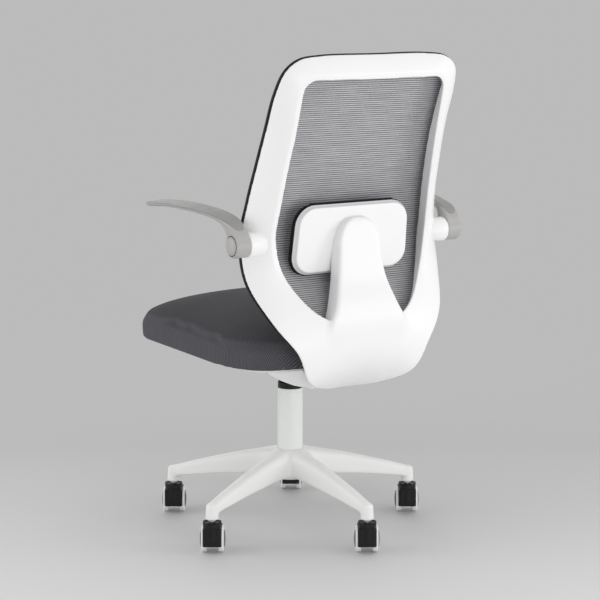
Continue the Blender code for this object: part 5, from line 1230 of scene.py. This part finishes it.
pad_front, pad_back = (corner.y - COLUMN[1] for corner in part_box("lumbar_pad"))
pad_middle, thick = (pad_front + pad_back) / 2, pad_back - pad_front
bend = np.linspace(-math.pi / 2, math.pi / 2, 13)
levels = [(PAD_DRAWN, pad_front + 0.0008)]
levels += zip(0.5 * thick * (1 - np.cos(bend)), pad_middle + 0.46 * thick * np.sin(bend))
levels += [(PAD_DRAWN, pad_back - 0.0004)]
pad = stacked("pad", PLATE_HALF_X + PAD_OUT, PLATE_HALF_Z + PAD_OUT, PLATE_CORNER + PAD_OUT, levels)
pad = swollen("lumbar_swell", pad, PAD_VOXEL, PAD_SWELL)
points = mesh_points(pad)
points[:, 1] = np.clip(points[:, 1], pad_front, pad_back)
with_points(pad, points)
stored(pad, "cord_run", points[:, 2])
pad = placed(leaned(pad), COLUMN + (0, 0, PLATE_MIDDLE))
lumbar_cushion = piece("lumbar_cushion", pad, "tilt", BLACK_CLOTH_AND_GAP_SHADE, "lumbar_pad")
finer(lumbar_cushion)

# %% [markdown]
# ## Seat cushion
#
# The seat is a deep foam pad in a stretched cover: nearly square in front, rounder at the back, fullest low
# on its sides, drawn in a little between the corners, and one convex dome on top that falls away to the
# front. Its closed form is a stack of squarish outlines. The swelling is held at the underside, where the
# pan carries it.

# %% Seat form
SEAT_HALF_X, SEAT_HALF_Y, SEAT_HEIGHT, SEAT_WIDEST = 0.2485, 0.2635, 0.1065, 0.0292
SEAT_MIDDLE_Y = -0.0135
SEAT_UNDER, SEAT_TUCK, SEAT_PULL, SEAT_DOME = 0.06, 0.002, 0.010, 2.1
SEAT_FRONT_SQUARE, SEAT_BACK_SQUARE = 6.0, 3.7
SEAT_FALL, SEAT_FALL_FROM, SEAT_FALL_POWER = 0.07, 0.090, 1.5
SEAT_VOXEL, SEAT_SWELL, SEAT_HELD, SEAT_LEAST = 0.005, 0.0040, (0.012, 0.003), 0.0002
seat_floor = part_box("seat_cushion")[0].z


def squarish(half_x, half_y, front, back, pull, count=200):
    """Superellipse outline, squarer in front than at the back, whose sides draw in between its corners.

    x and y are a cosine and a sine to the power 2 / square; a side then moves in by the pull times
    its own coordinate to the fourth and one minus the square of the other.
    """
    angle = np.linspace(0, 2 * math.pi, count, endpoint=False)
    square = np.where(np.sin(angle) > 0, back, front)
    x, y = powered(np.cos(angle), 2 / square), powered(np.sin(angle), 2 / square)
    return np.column_stack([half_x * x - powered(x, 4) * pull * (1 - y**2),
                            half_y * y - powered(y, 4) * pull * (1 - x**2)])


levels = [(SEAT_UNDER, 0.0), (SEAT_TUCK, 0.0), (0.3 * SEAT_TUCK, 0.4 * SEAT_WIDEST), (0.0, SEAT_WIDEST)]
left = np.cos(np.radians(np.arange(6, 89, 4)))
dome = (1 - left**2) ** (1 / SEAT_DOME)
levels += zip(SEAT_HALF_X * (1 - left), SEAT_WIDEST + (SEAT_HEIGHT - SEAT_WIDEST) * dome)
rings = []
for drawn, height in levels:
    left = 1 - drawn / SEAT_HALF_X
    flat = squarish(SEAT_HALF_X - drawn, SEAT_HALF_Y - drawn, 2 + (SEAT_FRONT_SQUARE - 2) * left**2,
                    2 + (SEAT_BACK_SQUARE - 2) * left**2, SEAT_PULL * left)
    share = np.maximum((-flat[:, 1] - SEAT_FALL_FROM) / (SEAT_HALF_Y - SEAT_FALL_FROM), 0)
    rings.append(np.column_stack([flat, height * (1 - SEAT_FALL * share**SEAT_FALL_POWER)]))
seat = swollen("seat_swell", loft("seat", np.stack(rings)), SEAT_VOXEL, SEAT_SWELL,
               lambda start: smoothstep(*SEAT_HELD, start[:, 2]))
place = mesh_points(seat)
place[:, 2] = np.maximum(place[:, 2], SEAT_LEAST)
with_points(seat, place)
print("seat", len(place), "points")

# %% Lengths along the seat's cloth and its painted shade
CORD_REACH, CORD_LEAN, CORD_TURN, CORD_ROUND_FROM = 0.12, 0.75, 0.081, 0.10
# Painted shade on the seat's top fades out between these two heights of the normal.
PAINTED_LIGHT_NONE, PAINTED_LIGHT_FULL = 0.80, 0.30

normal = mesh_normals(seat)
below = np.maximum(CORD_TURN - place[:, 2], 0)
sideways = (normal[:, :2] ** 2).sum(axis=1)
over_end = below * normal[:, 1] ** 2 / np.maximum(sideways, 1e-6)
from_side = np.maximum(SEAT_HALF_X - np.abs(place[:, 0]), 0)
drawn_round = CORD_REACH * (1 - np.exp(-from_side / CORD_REACH))
drawn_round *= smoothstep(CORD_ROUND_FROM, SEAT_HALF_Y, np.abs(place[:, 1]))
stored(seat, "cord_run", place[:, 1] + np.sign(place[:, 1]) * CORD_LEAN * (over_end + drawn_round))
# Painted shade: 0 where the seat faces up and 1 on its sides, read by the cloth's finish.
stored(seat, "painted_side_light", smoothstep(PAINTED_LIGHT_NONE, PAINTED_LIGHT_FULL, normal[:, 2]))
seat = placed(seat, COLUMN + (0, SEAT_MIDDLE_Y, seat_floor))
seat_cover = piece("seat_upholstery", seat, "tilt", CHARCOAL_CLOTH, "seat_cushion")
finer(seat_cover)

# %% [markdown]
# ## Tilt spring
#
# A coil spring stands between the mechanism and the seat plate. Its wire is a small circle carried along a
# helix: the angle and the height both grow evenly with the distance along the wire. When the seat tilts
# back the plate comes down on it.

# %% Tilt spring
COIL_RADIUS, WIRE_RADIUS, COIL_TURNS, COIL_KEEP = 0.0120, 0.0018, 5, 0.79
TURN_STEPS, WIRE_SIDES = 40, 14
spring_low, spring_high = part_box("tilt_spring")
coil_middle = box_middle("tilt_spring")
share = np.linspace(0, 1, COIL_TURNS * TURN_STEPS + 1)
angle = 2 * math.pi * COIL_TURNS * share
foot_z, head_z = spring_low.z + WIRE_RADIUS, spring_high.z - WIRE_RADIUS
outward = np.column_stack([np.cos(angle), np.sin(angle), np.zeros(len(angle))])
coil = COIL_RADIUS * outward
coil[:, 2] = foot_z + (head_z - foot_z) * share
ahead = unit(np.gradient(coil, axis=0))
wire = tube(coil, outward, np.cross(ahead, outward), WIRE_RADIUS, WIRE_RADIUS, WIRE_SIDES)
spring = placed(loft("spring", wire), coil_middle * (1, 1, 0))
spring = piece("spring_wire", spring, "lift", STEEL, "tilt_spring", sharp=50)
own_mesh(spring)

# %% [markdown]
# ## Solids that stay
#
# The steel and black pieces of the mechanism, the column's inside and the pan keep their solids. Each gets
# its finish and a small bevel, because no real edge is knife sharp and it is the bevel that catches light.

# %% Finishes and bevels on solids
# Each solid: its finish and the width of its bevel
KEPT = {
    "column_tube": (STEEL, 0.0006), "thrust_bearing": (STEEL, 0.0004), "guide_bush": (BLACK, 0.0006),
    "piston_rod": (STEEL, 0.0004), "gas_cylinder": (DARK_STEEL, 0.0006), "release_button": (STEEL, 0.0005),
    "mechanism_housing": (DARK_STEEL, 0.0012), "tilt_axle": (STEEL, 0.0005), "tension_bolt": (STEEL, 0.0004),
    "tension_knob": (BLACK, 0.0008), "lift_lever": (DARK_STEEL, 0.0006), "lever_grip": (BLACK, 0.0012),
    "seat_plate": (DARK_STEEL, 0.0005), "seat_pan": (WHITE, 0.0015),
}
KEPT.update({f"seat_bolt_{number}": (STEEL, 0.0004) for number in range(1, 5)})
KEPT.update({f"arm_pin_{name}": (STEEL, 0.0004) for name in ("left", "right")})
KEPT.update({f"caster_stem_{number}": (STEEL, 0.0004) for number in range(1, LEG_COUNT + 1)})
KEPT.update({f"caster_axle_{number}": (STEEL, 0.0003) for number in range(1, LEG_COUNT + 1)})
FLAT_ANGLE, BEVEL_ANGLE = math.radians(1), math.radians(35)


def finish_solid(node, finish, width):
    """Gives a solid its material and, as modifiers, merged points and rounded edges."""
    solid = nodes[node]
    solid.data.materials.clear()
    solid.data.materials.append(finish)
    merge = solid.modifiers.new("merge", "WELD")
    merge.merge_threshold = 1e-6
    flats = solid.modifiers.new("flats", "DECIMATE")
    flats.decimate_type = "DISSOLVE"
    flats.angle_limit = FLAT_ANGLE
    soft = solid.modifiers.new("soft", "BEVEL")
    soft.width = width
    soft.segments = 2
    soft.limit_method = "ANGLE"
    soft.angle_limit = BEVEL_ANGLE
    soft.use_clamp_overlap = True
    soft.harden_normals = True


for node, (finish, width) in KEPT.items():
    finish_solid(node, finish, width)
print(len(KEPT), "solids finished")

# %% [markdown]
# ## Last update
#
# The view layer is updated once more at the end. The dressed chair has to stay in the
# solids' box.

# %% Last update
bpy.context.view_layer.update()
